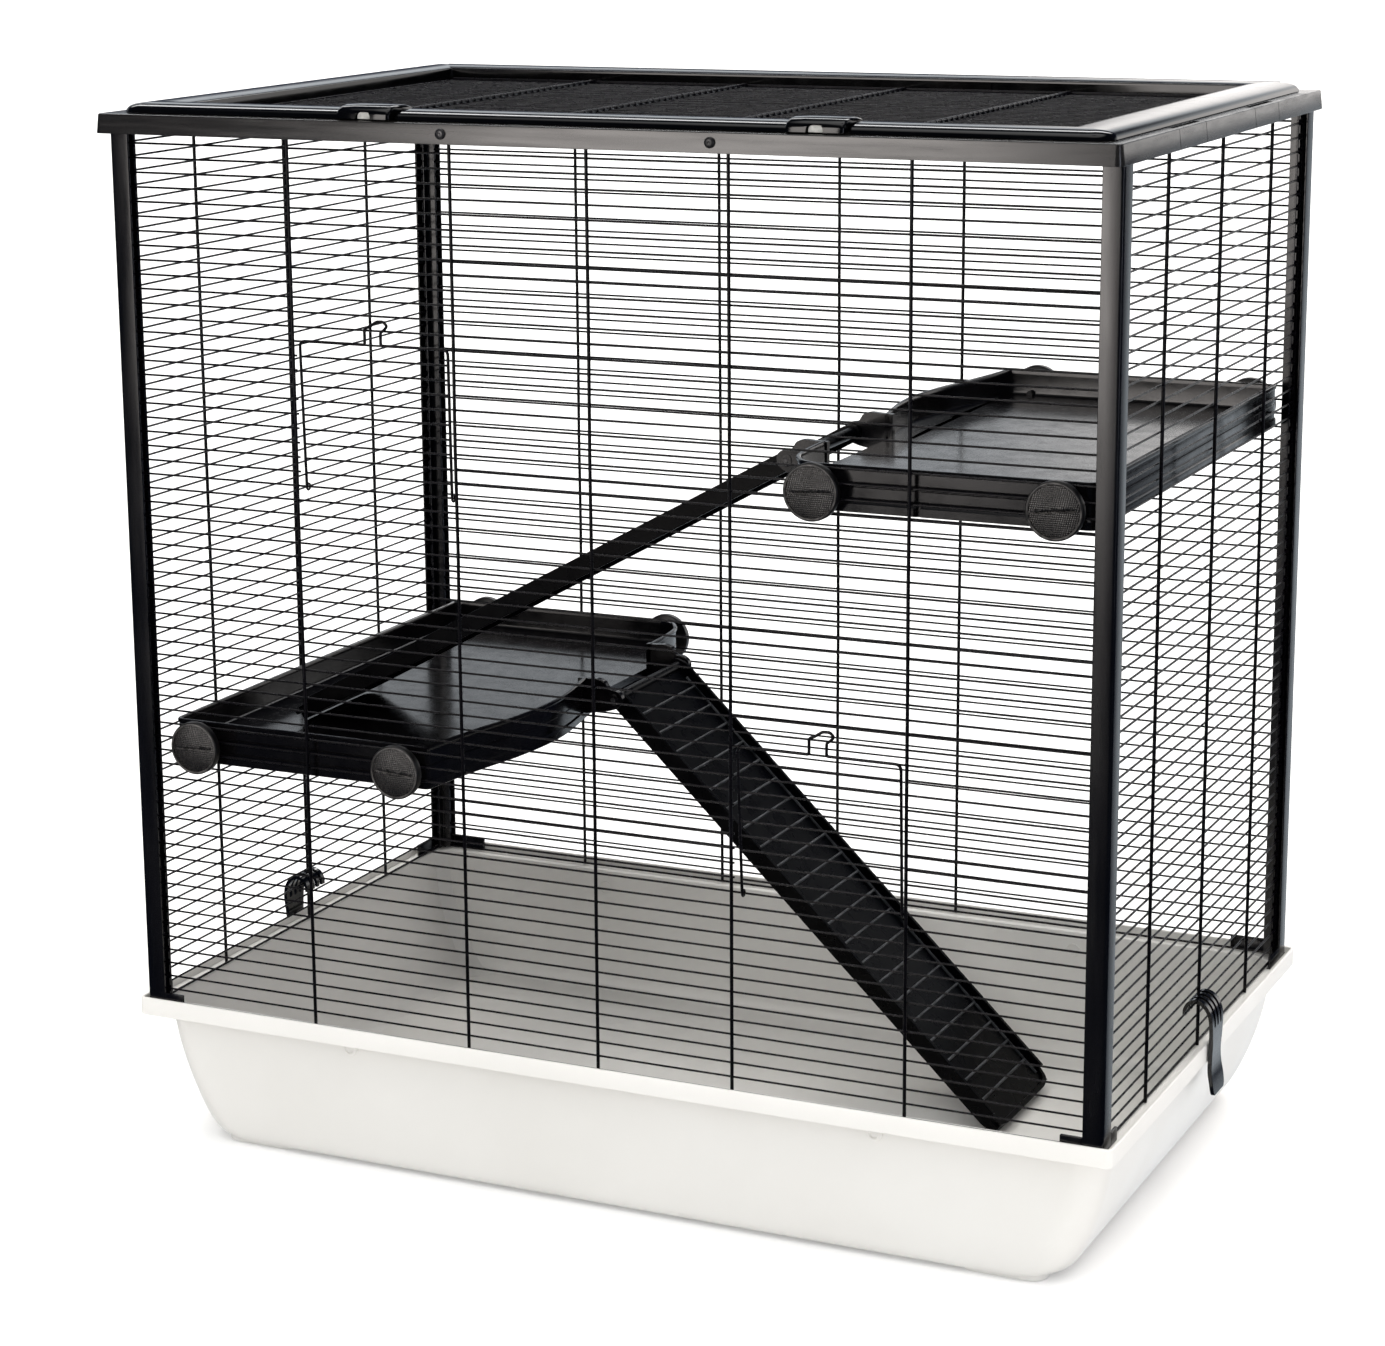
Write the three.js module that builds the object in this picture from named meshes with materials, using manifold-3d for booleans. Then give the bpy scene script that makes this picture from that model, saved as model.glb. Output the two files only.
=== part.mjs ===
// A two-storey wire cage for a ferret or other small pet: a moulded base tray,
// four corner posts, welded wire panels, a roof frame with a hinged lid, two
// shelves held through the wires by thumb knobs, two hinged ramps, two wire
// doors and two side clips. Millimetres, +Z up, the front faces -Y, and the
// origin lies on the floor under the middle of the cage.

import * as THREE from 'three';
import { mergeVertices } from 'three/addons/utils/BufferGeometryUtils.js';
import Module from 'manifold-3d';

// ---------------------------------------------------------------- dimensions
// Base tray
const RIM_TOP = 118; // height of the rim's outer lip
const RIM_HALF = [390, 237]; // half width and half depth of the rim
const RIM_HEIGHT = 14;
const RIM_LIP = 2.6; // thickness of the lip round the gutter
const GUTTER = 112.2; // floor of the gutter that the posts and panels stand in
const TRAY_WALL = 2.8;
const TRAY_FLOOR = 7; // height of the inner floor
// height, half width, half depth and corner radius of the outer wall
const TRAY_WALLS = [
  [4, 340, 213, 32],
  [9, 348, 216, 30],
  [22, 357, 217.5, 28],
  [48, 368, 218.5, 26],
  [76, 376, 219.5, 24],
  [103, 380, 220.5, 22],
];

// Corner posts: outer faces, and how far each face reaches from the corner
const POST_HALF = [382.8, 234.1];
const POST_FRONT_FACE = 15;
const POST_SIDE_FACE = 17.5;
const POST_BOTTOM = 113.8;
const POST_TOP = 790;

// Wire panels
const PITCH = 10.594; // from one horizontal wire to the next
const ROWS = 64;
const WIRE_R = 0.8; // thin wires
const BAR_R = 1.3; // thick wires
const FRONT_ROW_Y = 226.4; // plane of the front and back thin wires
const FRONT_BAR_Y = 228.5; // plane of the front and back thick wires
const FRONT_END_X = 372; // end bars, hidden in the posts
const FRONT_BARS = [-237, -106, 0, 106, 237];
const SIDE_ROW_X = 377.4;
const SIDE_BAR_X = 379.5;
const SIDE_END_Y = 222;
const SIDE_BARS = [-128, 0, 128];
const FIRST_ROW = 113.8; // lowest wire, down in the gutter

// Doors: between which bars, and from which row (hinge) to which row (top)
const DOORS = {
  upper: { bars: [-237, -106], legTop: [-231.2, -110.4], legFoot: [-229.2, -109.6], hingeRow: 39, loopX: -171 },
  lower: { bars: [106, 237], legTop: [111.2, 232.6], legFoot: [114.4, 234.1], hingeRow: 14, loopX: 171.5 },
};
const DOOR_ROWS = 10; // wire pitches from the hinge to the door's top
const DOOR_WIRE_R = 1.1;
const DOOR_WIRE_Y = 228.6;
const DOOR_ROW_Y = 228.5;
const DOOR_EYE_R = 2.2;

// Roof frame and lid
const ROOF_HALF = [384.5, 247.6];
const ROOF_TOP = 793;
const ROOF_LIP = 778.8; // lower edge of the frame's outer face
const ROOF_FLANGE = 45.5; // width of the frame's flat top
const LID_HALF = [373.5, 236.6];
const LID_BOTTOM = ROOF_TOP + 0.4;
const LID_TOP = 800;
const LID_STRIP = 35.9; // from the lid's outer edge to its inner wall
const LID_ROW_Z = 788.5;
const LID_ROWS = 37;
const LID_BARS = [-202.5, -67.5, 67.5, 202.5];
const LATCH_X = [-166, 174];
const LATCH_HALF = 21;
const LATCH_PIVOT = [-209, 797.5]; // y, z
const LID_HINGE_X = 168;
const LID_PIVOT = [232, 796.5]; // y, z
const LID_BARREL = 3.1; // radius of the rear strip's hinge barrel
const SCREW_X = 101.5;

// Shelves, in their own frame: u towards the middle of the cage, v towards the
// ramp, w up from the shelf's underside
const SHELF_DEPTH = 222; // half depth
const SHELF_HEIGHT = 32;
const SHELF_FLOOR = 13;
const SHELF_SKIN = 3;
const SHELF_OUTLINE = [
  [-110, -222], [106, -222], [110, -190], [116.5, -152], [124.5, -112], [128.5, -66],
  [126, -30], [119, 8], [116, 24], [116, 143], [115, 170], [111, 198], [101, 215], [88, 222], [-110, 222],
];
const SHELVES = {
  lower: { x: -245, z: 307.6, turned: false },
  upper: { x: 254.5, z: 539.2, turned: true },
};
const KNOB_U = 86;
const KNOB_W = 14;
const RAMP_V = 77.5; // middle of the ramp's width
const RAMP_U = 143; // ramp pivot
const RAMP_W = 16.5;

// Ramps
const RAMP_LENGTHS = { lower: 448, upper: 474 };
const RAMP_HALF = 59.5;
const RAMP_RAIL = 4;
const RAMP_RAIL_H = 14;
const RUNG_STEP = 20;

// Knobs
const KNOB_R = 20;
const KNOB_BACK_Y = 230.3;

// Side clips
const CLIP_HALF = 14;

// ---------------------------------------------------------------- materials
const plastic = (color, roughness) => new THREE.MeshStandardMaterial({ color, roughness, metalness: 0 });
const trayMaterial = plastic(0xece9e3, 0.45);
const postMaterial = plastic(0x17171a, 0.32);
const roofMaterial = plastic(0x1d1b1b, 0.34);
const lidMaterial = plastic(0x191819, 0.24);
const shelfMaterial = plastic(0x1f1f21, 0.42);
const rampMaterial = plastic(0x141416, 0.5);
const knobMaterial = plastic(0x2b2726, 0.6);
const clipMaterial = plastic(0x15171a, 0.25);
const wireMaterial = new THREE.MeshStandardMaterial({ color: 0x1a171b, roughness: 0.38, metalness: 0.35 });
const steelMaterial = new THREE.MeshStandardMaterial({ color: 0x4a4a4c, roughness: 0.35, metalness: 0.9 });

// ---------------------------------------------------------------- solids
const wasm = await Module();
wasm.setup();

const group = new THREE.Group();

function solid(geometry) {
  const bare = geometry.index ? geometry.toNonIndexed() : geometry.clone();
  bare.deleteAttribute('normal');
  bare.deleteAttribute('uv');
  const merged = mergeVertices(bare, 1e-4);
  return new wasm.Manifold(
    new wasm.Mesh({
      numProp: 3,
      vertProperties: new Float32Array(merged.attributes.position.array),
      triVerts: new Uint32Array(merged.index.array),
    }),
  );
}

function toGeometry(body) {
  const mesh = body.getMesh();
  const geometry = new THREE.BufferGeometry();
  geometry.setAttribute('position', new THREE.BufferAttribute(new Float32Array(mesh.vertProperties), 3));
  geometry.setIndex(new THREE.BufferAttribute(new Uint32Array(mesh.triVerts), 1));
  const flat = geometry.toNonIndexed();
  flat.computeVertexNormals();
  return flat;
}

const join = (...bodies) => bodies.flat().reduce((a, b) => a.add(b));
const cut = (body, ...tools) => tools.flat().reduce((a, b) => a.subtract(b), body);

function addMesh(name, geometry, material) {
  const mesh = new THREE.Mesh(geometry, material);
  mesh.name = name;
  group.add(mesh);
  return mesh;
}

// Box between two corners.
function box(x0, x1, y0, y1, z0, z1) {
  const g = new THREE.BoxGeometry(Math.abs(x1 - x0), Math.abs(y1 - y0), Math.abs(z1 - z0));
  return solid(g.translate((x0 + x1) / 2, (y0 + y1) / 2, (z0 + z1) / 2));
}

// Round or many-sided bar along one axis, from a to b on that axis, through the
// point (p, q) on the other two. With four sides its edges face along the axes.
function bar(axis, a, b, p, q, r, sides = 4) {
  const g = new THREE.CylinderGeometry(r, r, Math.abs(b - a), sides);
  const mid = (a + b) / 2;
  if (axis === 'x') g.rotateZ(Math.PI / 2).translate(mid, p, q);
  else if (axis === 'y') g.translate(p, mid, q);
  else g.rotateX(Math.PI / 2).translate(p, q, mid);
  return solid(g);
}

// Plate with the given plan outline (counter-clockwise), from z0 to z1.
function plate(points, z0, z1) {
  const shape = new THREE.Shape(points.map(([x, y]) => new THREE.Vector2(x, y)));
  const g = new THREE.ExtrudeGeometry(shape, { depth: z1 - z0, bevelEnabled: false });
  return solid(g.translate(0, 0, z0));
}

// Plate whose outline lies in the X-Z plane, from y0 to y1.
function plateXZ(points, y0, y1) {
  const shape = new THREE.Shape(points.map(([x, z]) => new THREE.Vector2(x, z)));
  const g = new THREE.ExtrudeGeometry(shape, { depth: y1 - y0, bevelEnabled: false });
  return solid(g.rotateX(Math.PI / 2).translate(0, y1, 0));
}

// Plate whose outline lies in the Y-Z plane, from x0 to x1.
function plateYZ(points, x0, x1) {
  const shape = new THREE.Shape(points.map(([y, z]) => new THREE.Vector2(y, z)));
  const g = new THREE.ExtrudeGeometry(shape, { depth: x1 - x0, bevelEnabled: false });
  const swap = new THREE.Matrix4().set(0, 0, 1, x0, 1, 0, 0, 0, 0, 1, 0, 0, 0, 0, 0, 1);
  return solid(g.applyMatrix4(swap));
}

// Skin through rings of points: every ring has as many points, and the last
// ring joins the first one unless capped.
function skin(rings, capped) {
  const n = rings[0].length;
  const positions = rings.flat(2);
  const index = [];
  const last = capped ? rings.length - 1 : rings.length;
  for (let i = 0; i < last; i++) {
    const a = i * n;
    const b = ((i + 1) % rings.length) * n;
    for (let j = 0; j < n; j++) {
      const k = (j + 1) % n;
      index.push(a + j, a + k, b + k, a + j, b + k, b + j);
    }
  }
  if (capped) {
    const end = (rings.length - 1) * n;
    for (let j = 1; j < n - 1; j++) {
      index.push(0, j + 1, j, end, end + j, end + j + 1);
    }
  }
  const g = new THREE.BufferGeometry();
  g.setAttribute('position', new THREE.Float32BufferAttribute(positions, 3));
  g.setIndex(index);
  return g;
}

// Rounded rectangle ring at height z, counter-clockwise seen from above.
function ring(hx, hy, r, z, steps = 4) {
  const points = [];
  const corners = [[1, 1, 0], [-1, 1, 90], [-1, -1, 180], [1, -1, 270]];
  for (const [sx, sy, start] of corners) {
    for (let i = 0; i <= steps; i++) {
      const t = ((start + (90 * i) / steps) * Math.PI) / 180;
      points.push([sx * (hx - r) + r * Math.cos(t), sy * (hy - r) + r * Math.sin(t), z]);
    }
  }
  return points;
}

// Wire of many-sided section along a polyline, with mitred bends.
function wire(path, r, sides = 6) {
  const p = path.map((v) => new THREE.Vector3(...v));
  const rings = [];
  const dirs = p.slice(1).map((v, i) => v.clone().sub(p[i]).normalize());
  let side = new THREE.Vector3(0, 1, 0);
  if (Math.abs(side.dot(dirs[0])) > 0.9) side.set(1, 0, 0);
  side.addScaledVector(dirs[0], -side.dot(dirs[0])).normalize();
  for (let i = 0; i < p.length; i++) {
    const d0 = dirs[Math.max(i - 1, 0)];
    const d1 = dirs[Math.min(i, dirs.length - 1)];
    const normal = d0.clone().add(d1).normalize();
    const up = new THREE.Vector3().crossVectors(d0, side).normalize();
    const points = [];
    for (let j = 0; j < sides; j++) {
      const t = (2 * Math.PI * j) / sides;
      const q = side.clone().multiplyScalar(r * Math.cos(t)).addScaledVector(up, r * Math.sin(t));
      q.addScaledVector(d0, -q.dot(normal) / d0.dot(normal)); // onto the mitre plane
      points.push(q.add(p[i]).toArray());
    }
    rings.push(points);
    side.addScaledVector(d1, -side.dot(d1)).normalize();
  }
  return solid(skin(rings, true));
}

// The outline moved inwards by d; the points run counter-clockwise.
function inset(points, d) {
  const n = points.length;
  return points.map((p, i) => {
    const a = points[(i + n - 1) % n];
    const b = points[(i + 1) % n];
    const e0 = new THREE.Vector2(p[0] - a[0], p[1] - a[1]).normalize();
    const e1 = new THREE.Vector2(b[0] - p[0], b[1] - p[1]).normalize();
    const n0 = new THREE.Vector2(-e0.y, e0.x);
    const n1 = new THREE.Vector2(-e1.y, e1.x);
    const m = n0.clone().add(n1);
    m.multiplyScalar(d / (1 + n0.dot(n1)));
    return [p[0] + m.x, p[1] + m.y];
  });
}

// ---------------------------------------------------------------- base tray
// One skin: up the outside wall, out and down round the rim, back over the rim's
// top and down the inside wall to the floor.
{
  const outside = TRAY_WALLS.map(([z, hx, hy, r]) => ring(hx, hy, r, z));
  const [, topX, topY, topR] = TRAY_WALLS.at(-1);
  const under = GUTTER - TRAY_WALL;
  const [rx, ry] = RIM_HALF;
  const rim = [
    ring(topX + 0.2, topY + 0.2, topR, under),
    ring(rx - TRAY_WALL, ry - TRAY_WALL, 3, under),
    ring(rx - TRAY_WALL, ry - TRAY_WALL, 3, RIM_TOP - RIM_HEIGHT),
    ring(rx, ry, 5, RIM_TOP - RIM_HEIGHT),
    ring(rx, ry, 5, RIM_TOP - 0.8),
    ring(rx - 0.8, ry - 0.8, 4.2, RIM_TOP),
    ring(rx - RIM_LIP, ry - RIM_LIP, 2.4, RIM_TOP),
    ring(rx - RIM_LIP, ry - RIM_LIP, 2.4, GUTTER),
    ring(topX - TRAY_WALL + 0.2, topY - TRAY_WALL + 0.2, topR - TRAY_WALL, GUTTER),
  ];
  const inside = TRAY_WALLS.map(([z, hx, hy, r]) =>
    ring(hx - TRAY_WALL, hy - TRAY_WALL, r - TRAY_WALL, z === TRAY_WALLS[0][0] ? TRAY_FLOOR : z + 2),
  ).reverse();
  let tray = solid(skin([...outside, ...rim, ...inside], true));
  const foot = (sx, sy) => {
    const points = ring(32, 20, 12, 0, 3).map(([x, y]) => [sx * 302 + x, sy * 190 + y]);
    return plate(points, 0, 5);
  };
  const boss = (x, side) => bar('y', side * 218.6, side * 223.5, x, 97, 6, 10);
  tray = join(tray, foot(1, 1), foot(-1, 1), foot(-1, -1), foot(1, -1));
  tray = join(tray, boss(-212, -1), boss(212, -1), boss(-212, 1), boss(212, 1));
  addMesh('tray', toGeometry(tray), trayMaterial);
}

// ---------------------------------------------------------------- corner posts
// Section measured from the outer corner: a along X, b along Y. Two open
// channels take the ends of the wire panels.
const POST_SECTION = [
  [0, 1.6], [1.6, 0], [POST_FRONT_FACE, 0], [POST_FRONT_FACE, 2], [8.6, 2], [8.6, 9], [POST_FRONT_FACE, 9],
  [POST_FRONT_FACE, 10.8], [8.6, 10.8], [8.6, POST_SIDE_FACE], [6.8, POST_SIDE_FACE], [6.8, 2], [1.5, 2],
  [1.5, POST_SIDE_FACE], [0, POST_SIDE_FACE],
];
const CORNERS = {
  front_left: [-1, -1],
  front_right: [1, -1],
  rear_left: [-1, 1],
  rear_right: [1, 1],
};
function cornerOutline(section, half, sx, sy) {
  const points = section.map(([a, b]) => [sx * (half[0] - a), sy * (half[1] - b)]);
  return sx * sy > 0 ? points : points.reverse();
}
for (const [corner, [sx, sy]] of Object.entries(CORNERS)) {
  const outline = cornerOutline(POST_SECTION, POST_HALF, sx, sy);
  addMesh(`post_${corner}`, toGeometry(plate(outline, POST_BOTTOM, POST_TOP)), postMaterial);

  // The foot is a thin L-shaped sole in the gutter, outside the panels' lowest
  // wires, with an upright tab beside each face of the post. The rear feet reach
  // further.
  const arm = sy < 0 ? 31 : 44;
  const f = POST_FRONT_FACE + 0.35;
  const g = POST_SIDE_FACE + 0.35;
  const sole = cornerOutline(
    [[0, 0], [arm, 0], [arm, 4.6], [9.5, 4.6], [9.5, 9.5], [3.2, 9.5], [3.2, arm], [0, arm]],
    POST_HALF, sx, sy,
  );
  const tabs = [
    [[f, 0], [arm, 0], [arm, 2.6], [f, 2.6]],
    [[0, g], [1.9, g], [1.9, arm], [0, arm]],
  ].map((t) => plate(cornerOutline(t, POST_HALF, sx, sy), GUTTER + 0.3, RIM_TOP + 4.6));
  const foot = join(plate(sole, GUTTER + 0.3, GUTTER + 1.3), tabs);
  addMesh(`post_foot_${corner}`, toGeometry(foot), postMaterial);
}

// ---------------------------------------------------------------- wire panels
const rowZ = (i) => FIRST_ROW + PITCH * i;
const BAR_TOP = 789.5;

// Which doorway a row of the front panel crosses, if any.
function doorwayAt(i) {
  return Object.values(DOORS).find((d) => i > d.hingeRow && i < d.hingeRow + DOOR_ROWS);
}

// The thin rows end in the two end bars; the thick bars are welded to the
// lowest and highest rows.
function frontPanel(side, withDoors) {
  const rowY = side * FRONT_ROW_Y;
  const parts = [-1, 1].map((s) =>
    box(s * FRONT_END_X - 0.95, s * FRONT_END_X + 0.95, rowY - 0.95, rowY + 0.95, 114, BAR_TOP),
  );
  for (let i = 0; i < ROWS; i++) {
    const edge = i === 0 || i === ROWS - 1;
    const y = edge ? rowY + side * 0.5 : rowY;
    const r = edge ? 1.0 : WIRE_R;
    const doorway = withDoors ? doorwayAt(i) : undefined;
    if (doorway) {
      parts.push(bar('x', -FRONT_END_X, doorway.bars[0] + 1.8, y, rowZ(i), r));
      parts.push(bar('x', doorway.bars[1] - 1.8, FRONT_END_X, y, rowZ(i), r));
    } else {
      parts.push(bar('x', -FRONT_END_X, FRONT_END_X, y, rowZ(i), r));
    }
  }
  for (const x of FRONT_BARS) parts.push(bar('z', 113, BAR_TOP, x, side * FRONT_BAR_Y, BAR_R));
  return join(parts);
}
addMesh('wire_panel_front', toGeometry(frontPanel(-1, true)), wireMaterial);
addMesh('wire_panel_back', toGeometry(frontPanel(1, false)), wireMaterial);

function sidePanel(side) {
  const rowX = side * SIDE_ROW_X;
  const parts = [-1, 1].map((s) =>
    box(rowX - 0.95, rowX + 0.95, s * SIDE_END_Y - 0.95, s * SIDE_END_Y + 0.95, 114, BAR_TOP),
  );
  for (let i = 0; i < ROWS; i++) {
    const edge = i === 0 || i === ROWS - 1;
    const x = edge ? rowX + side * 0.5 : rowX;
    parts.push(bar('y', -SIDE_END_Y, SIDE_END_Y, x, rowZ(i), edge ? 1.0 : WIRE_R));
  }
  for (const y of SIDE_BARS) parts.push(bar('z', 113, BAR_TOP, side * SIDE_BAR_X, y, BAR_R));
  return join(parts);
}
addMesh('wire_panel_left', toGeometry(sidePanel(-1)), wireMaterial);
addMesh('wire_panel_right', toGeometry(sidePanel(1)), wireMaterial);

// ---------------------------------------------------------------- doors
// One bent wire makes both legs, the top and the latch loop; each leg ends in an
// eye round a horizontal wire of the panel.
for (const [name, door] of Object.entries(DOORS)) {
  const y = -DOOR_WIRE_Y;
  const z0 = rowZ(door.hingeRow);
  const z1 = rowZ(door.hingeRow + DOOR_ROWS) + 0.6;
  const [lt, rt] = door.legTop;
  const [lf, rf] = door.legFoot;
  const c = 4;
  const loop = [
    [-6.5, 0], [-6.5, 11.5], [-2.5, 13], [3.5, 17], [9, 17.2], [12, 14.2], [9.5, 11.2], [6.5, 9.4], [6.5, 0],
  ].map(([x, z]) => [door.loopX + x, y, z1 + z]);
  const outline = wire(
    [
      [lf, y, z0 + 0.5], [lt, y, z1 - c], [lt + 1.2, y, z1 - 1.2], [lt + c, y, z1],
      ...loop,
      [rt - c, y, z1], [rt - 1.2, y, z1 - 1.2], [rt, y, z1 - c], [rf, y, z0 + 0.5],
    ],
    DOOR_WIRE_R,
    6,
  );
  const eye = (x) => {
    const g = new THREE.TorusGeometry(DOOR_EYE_R, 0.85, 4, 8);
    return solid(g.rotateY(Math.PI / 2).translate(x, -FRONT_ROW_Y, z0));
  };
  const rows = [];
  for (let i = 1; i < DOOR_ROWS; i++) {
    const z = rowZ(door.hingeRow + i);
    const t = (z - z0) / (z1 - z0);
    const xl = lf + (lt - lf) * t;
    const xr = rf + (rt - rf) * t;
    rows.push(bar('x', xl - 0.5, xr + 0.5, -DOOR_ROW_Y, z, WIRE_R));
  }
  addMesh(`door_${name}`, toGeometry(join(outline, eye(lf), eye(rf), rows)), wireMaterial);
}

// ---------------------------------------------------------------- roof frame
// A ring with an outer face, a flat top and a short inner lip; the section is
// given as the distance in from the outer edge, and the height.
function frameRing(half, section, corner) {
  const rings = section.map(([o, z]) =>
    ring(half[0] - o, half[1] - o, Math.max(corner - o, 0.8), z, 2),
  );
  return solid(skin(rings, false));
}
{
  let roof = frameRing(
    ROOF_HALF,
    [
      [-1.5, ROOF_LIP], [0, ROOF_TOP - 1.5], [1.2, ROOF_TOP], [ROOF_FLANGE, ROOF_TOP], [ROOF_FLANGE, 784],
      [ROOF_FLANGE - 2, 784], [ROOF_FLANGE - 2, ROOF_TOP - 2.5], [1.2, ROOF_TOP - 2.5], [-0.3, ROOF_LIP],
    ],
    4,
  );
  for (const sx of [-1, 1]) {
    for (const y of [-92, 92]) {
      roof = cut(roof, box(sx * 376, sx * 380.5, y - 31, y + 31, ROOF_TOP - 4, ROOF_TOP + 1));
    }
    for (const sy of [-1, 1]) {
      roof = cut(roof, bar('y', sy * 240, sy * 252, sx * SCREW_X, 786, 2.3, 10));
    }
  }
  addMesh('roof_frame', toGeometry(roof), roofMaterial);
}

// Screws through the frame's front and back faces, each with a domed head.
for (const [side, sy] of [['front', -1], ['back', 1]]) {
  for (const [hand, sx] of [['left', -1], ['right', 1]]) {
    const profile = [[0, 0], [1.9, 0], [1.9, 8.2], [3.8, 8.2], [3.1, 9.5], [0, 9.8]];
    const g = new THREE.LatheGeometry(profile.map(([r, h]) => new THREE.Vector2(r, h)), 9);
    if (sy < 0) g.rotateX(Math.PI);
    g.translate(sx * SCREW_X, sy * 240.6, 786);
    addMesh(`roof_screw_${side}_${hand}`, toGeometry(solid(g)), steelMaterial);
  }
}

// ---------------------------------------------------------------- lid
const LID_INNER = [LID_HALF[0] - LID_STRIP - 2, LID_HALF[1] - LID_STRIP - 2];
{
  let lid = frameRing(
    LID_HALF,
    [
      [0, LID_BOTTOM], [1.6, 796.4], [6, 798.6], [13, 799.7], [20, LID_TOP], [29, 799.6], [LID_STRIP + 2, 798.2],
      [LID_STRIP + 2, 787], [LID_STRIP + 6, 787], [LID_STRIP + 6, 785], [LID_STRIP, 785], [LID_STRIP, LID_BOTTOM],
    ],
    16,
  );
  // the rear strip ends in a round barrel that turns on the hinge pins
  const [py, pz] = LID_PIVOT;
  lid = cut(lid, box(-380, 380, py, 240, 780, 805));
  lid = join(lid, bar('x', -356, 356, py, pz, LID_BARREL, 12));
  const tools = [];
  for (const x of LATCH_X) {
    // pocket for the latch, and its two pin holes
    tools.push(box(x - 22, x + 22, -240, -203.6, LID_BOTTOM - 1, LID_TOP + 2));
    tools.push(bar('x', x - 25, x + 25, ...LATCH_PIVOT, 1.8, 10));
  }
  for (const x of [-LID_HINGE_X, LID_HINGE_X]) {
    // window in the rear inner wall, slots for the hinge's ears, and its pin hole
    tools.push(box(x - 30, x + 30, LID_INNER[1] - 1, LID_INNER[1] + 1.4, 789, 796.4));
    tools.push(box(x - 11.9, x - 8.3, 226.8, 240, LID_BOTTOM - 1, LID_TOP + 2));
    tools.push(box(x + 8.3, x + 11.9, 226.8, 240, LID_BOTTOM - 1, LID_TOP + 2));
    tools.push(bar('x', x - 9, x + 9, py, pz, 1.8, 10));
  }
  lid = cut(lid, tools);
  addMesh('lid_frame', toGeometry(lid), lidMaterial);
}

// Wires of the lid: thin ones run along X, thick ones lie across them.
{
  const endX = LID_INNER[0] - 2;
  const endY = LID_INNER[1] - 2;
  const parts = [-1, 1].map((s) =>
    box(s * endX - 0.95, s * endX + 0.95, -endY, endY, LID_ROW_Z - 1, LID_ROW_Z + 1),
  );
  for (let i = 0; i < LID_ROWS; i++) {
    const y = (i - (LID_ROWS - 1) / 2) * PITCH;
    parts.push(bar('x', -endX, endX, y, LID_ROW_Z, WIRE_R));
  }
  for (const s of [-1, 1]) parts.push(bar('x', -endX, endX, s * endY, LID_ROW_Z + 1.1, BAR_R));
  for (const x of LID_BARS) parts.push(bar('y', -endY, endY, x, LID_ROW_Z + 2.3, BAR_R));
  addMesh('lid_wires', toGeometry(join(parts)), wireMaterial);
}

// Lid latches: a domed lever with a finger notch, on two short pins.
for (const [hand, x] of [['left', LATCH_X[0]], ['right', LATCH_X[1]]]) {
  const body = plateYZ(
    [
      [-243.6, 793.7], [-206.8, 794.6], [-206, 798], [-208.5, 801.6], [-216, 803.6], [-230, 804], [-238.5, 802.4], [-243, 798.6],
    ],
    x - LATCH_HALF, x + LATCH_HALF,
  );
  const pins = bar('x', x - 24, x + 24, ...LATCH_PIVOT, 1.5, 10);
  const notch = bar('y', -246, -236.5, x, 792.8, 6.4, 10);
  addMesh(`lid_latch_${hand}`, toGeometry(cut(join(body, pins), notch)), lidMaterial);
}

// Lid hinges: two ears on the roof frame, and the pin that joins them.
for (const [hand, s] of [['left', -1], ['right', 1]]) {
  const x = s * LID_HINGE_X;
  const [py, pz] = LID_PIVOT;
  const ear = (x0, x1) =>
    plateYZ(
      [[py - 3.2, ROOF_TOP + 0.3], [py + 3.2, ROOF_TOP + 0.3], [py + 3.2, pz], [py + 2, pz + 2.4], [py, pz + 3.1], [py - 2, pz + 2.4], [py - 3.2, pz]],
      x0, x1,
    );
  const pin = bar('x', x - 10, x + 10, py, pz, 1.5, 10);
  addMesh(`lid_hinge_${hand}`, toGeometry(join(ear(x - 11.6, x - 8.6), ear(x + 8.6, x + 11.6), pin)), roofMaterial);
}

// ---------------------------------------------------------------- shelves
function shelfBody() {
  const inner = inset(SHELF_OUTLINE, SHELF_SKIN);
  let body = cut(
    plate(SHELF_OUTLINE, 0, SHELF_HEIGHT),
    plate(inner, SHELF_FLOOR, SHELF_HEIGHT + 1),
    plate(inner, -1, SHELF_FLOOR - SHELF_SKIN),
  );
  // opening in the inner wall at the head of the ramp
  const v0 = RAMP_V - RAMP_HALF - 0.6;
  const v1 = RAMP_V + RAMP_HALF + 0.6;
  body = cut(body, box(108, 125, v0, v1, SHELF_FLOOR, SHELF_HEIGHT + 1));
  // lugs that carry the ramp's pin
  const lug = (a, b) =>
    plateXZ([[111, 2], [138, 7], [147, 10], [151, 15], [150, 21], [144, 25], [136, 26.5], [126, 31.5], [111, 32]], a, b);
  body = join(body, lug(v0 - 5.5, v0), lug(v1, v1 + 5.5));
  // bosses behind the knobs
  for (const u of [-KNOB_U, KNOB_U]) {
    for (const s of [-1, 1]) {
      body = join(body, box(u - 8, u + 8, s * 208, s * 221, 4, 24));
    }
  }
  const holes = [bar('y', v0 - 6, v1 + 6, RAMP_U, RAMP_W, 2.5, 10)];
  for (const u of [-KNOB_U, KNOB_U]) {
    holes.push(bar('y', -223, -210, u, KNOB_W, 2.9, 10), bar('y', 210, 223, u, KNOB_W, 2.9, 10));
  }
  return cut(body, holes);
}
const shelfSolid = shelfBody();
for (const [name, shelf] of Object.entries(SHELVES)) {
  const mesh = addMesh(`shelf_${name}`, toGeometry(shelfSolid), shelfMaterial);
  mesh.position.set(shelf.x, 0, shelf.z);
  if (shelf.turned) mesh.rotation.z = Math.PI;
}

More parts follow.
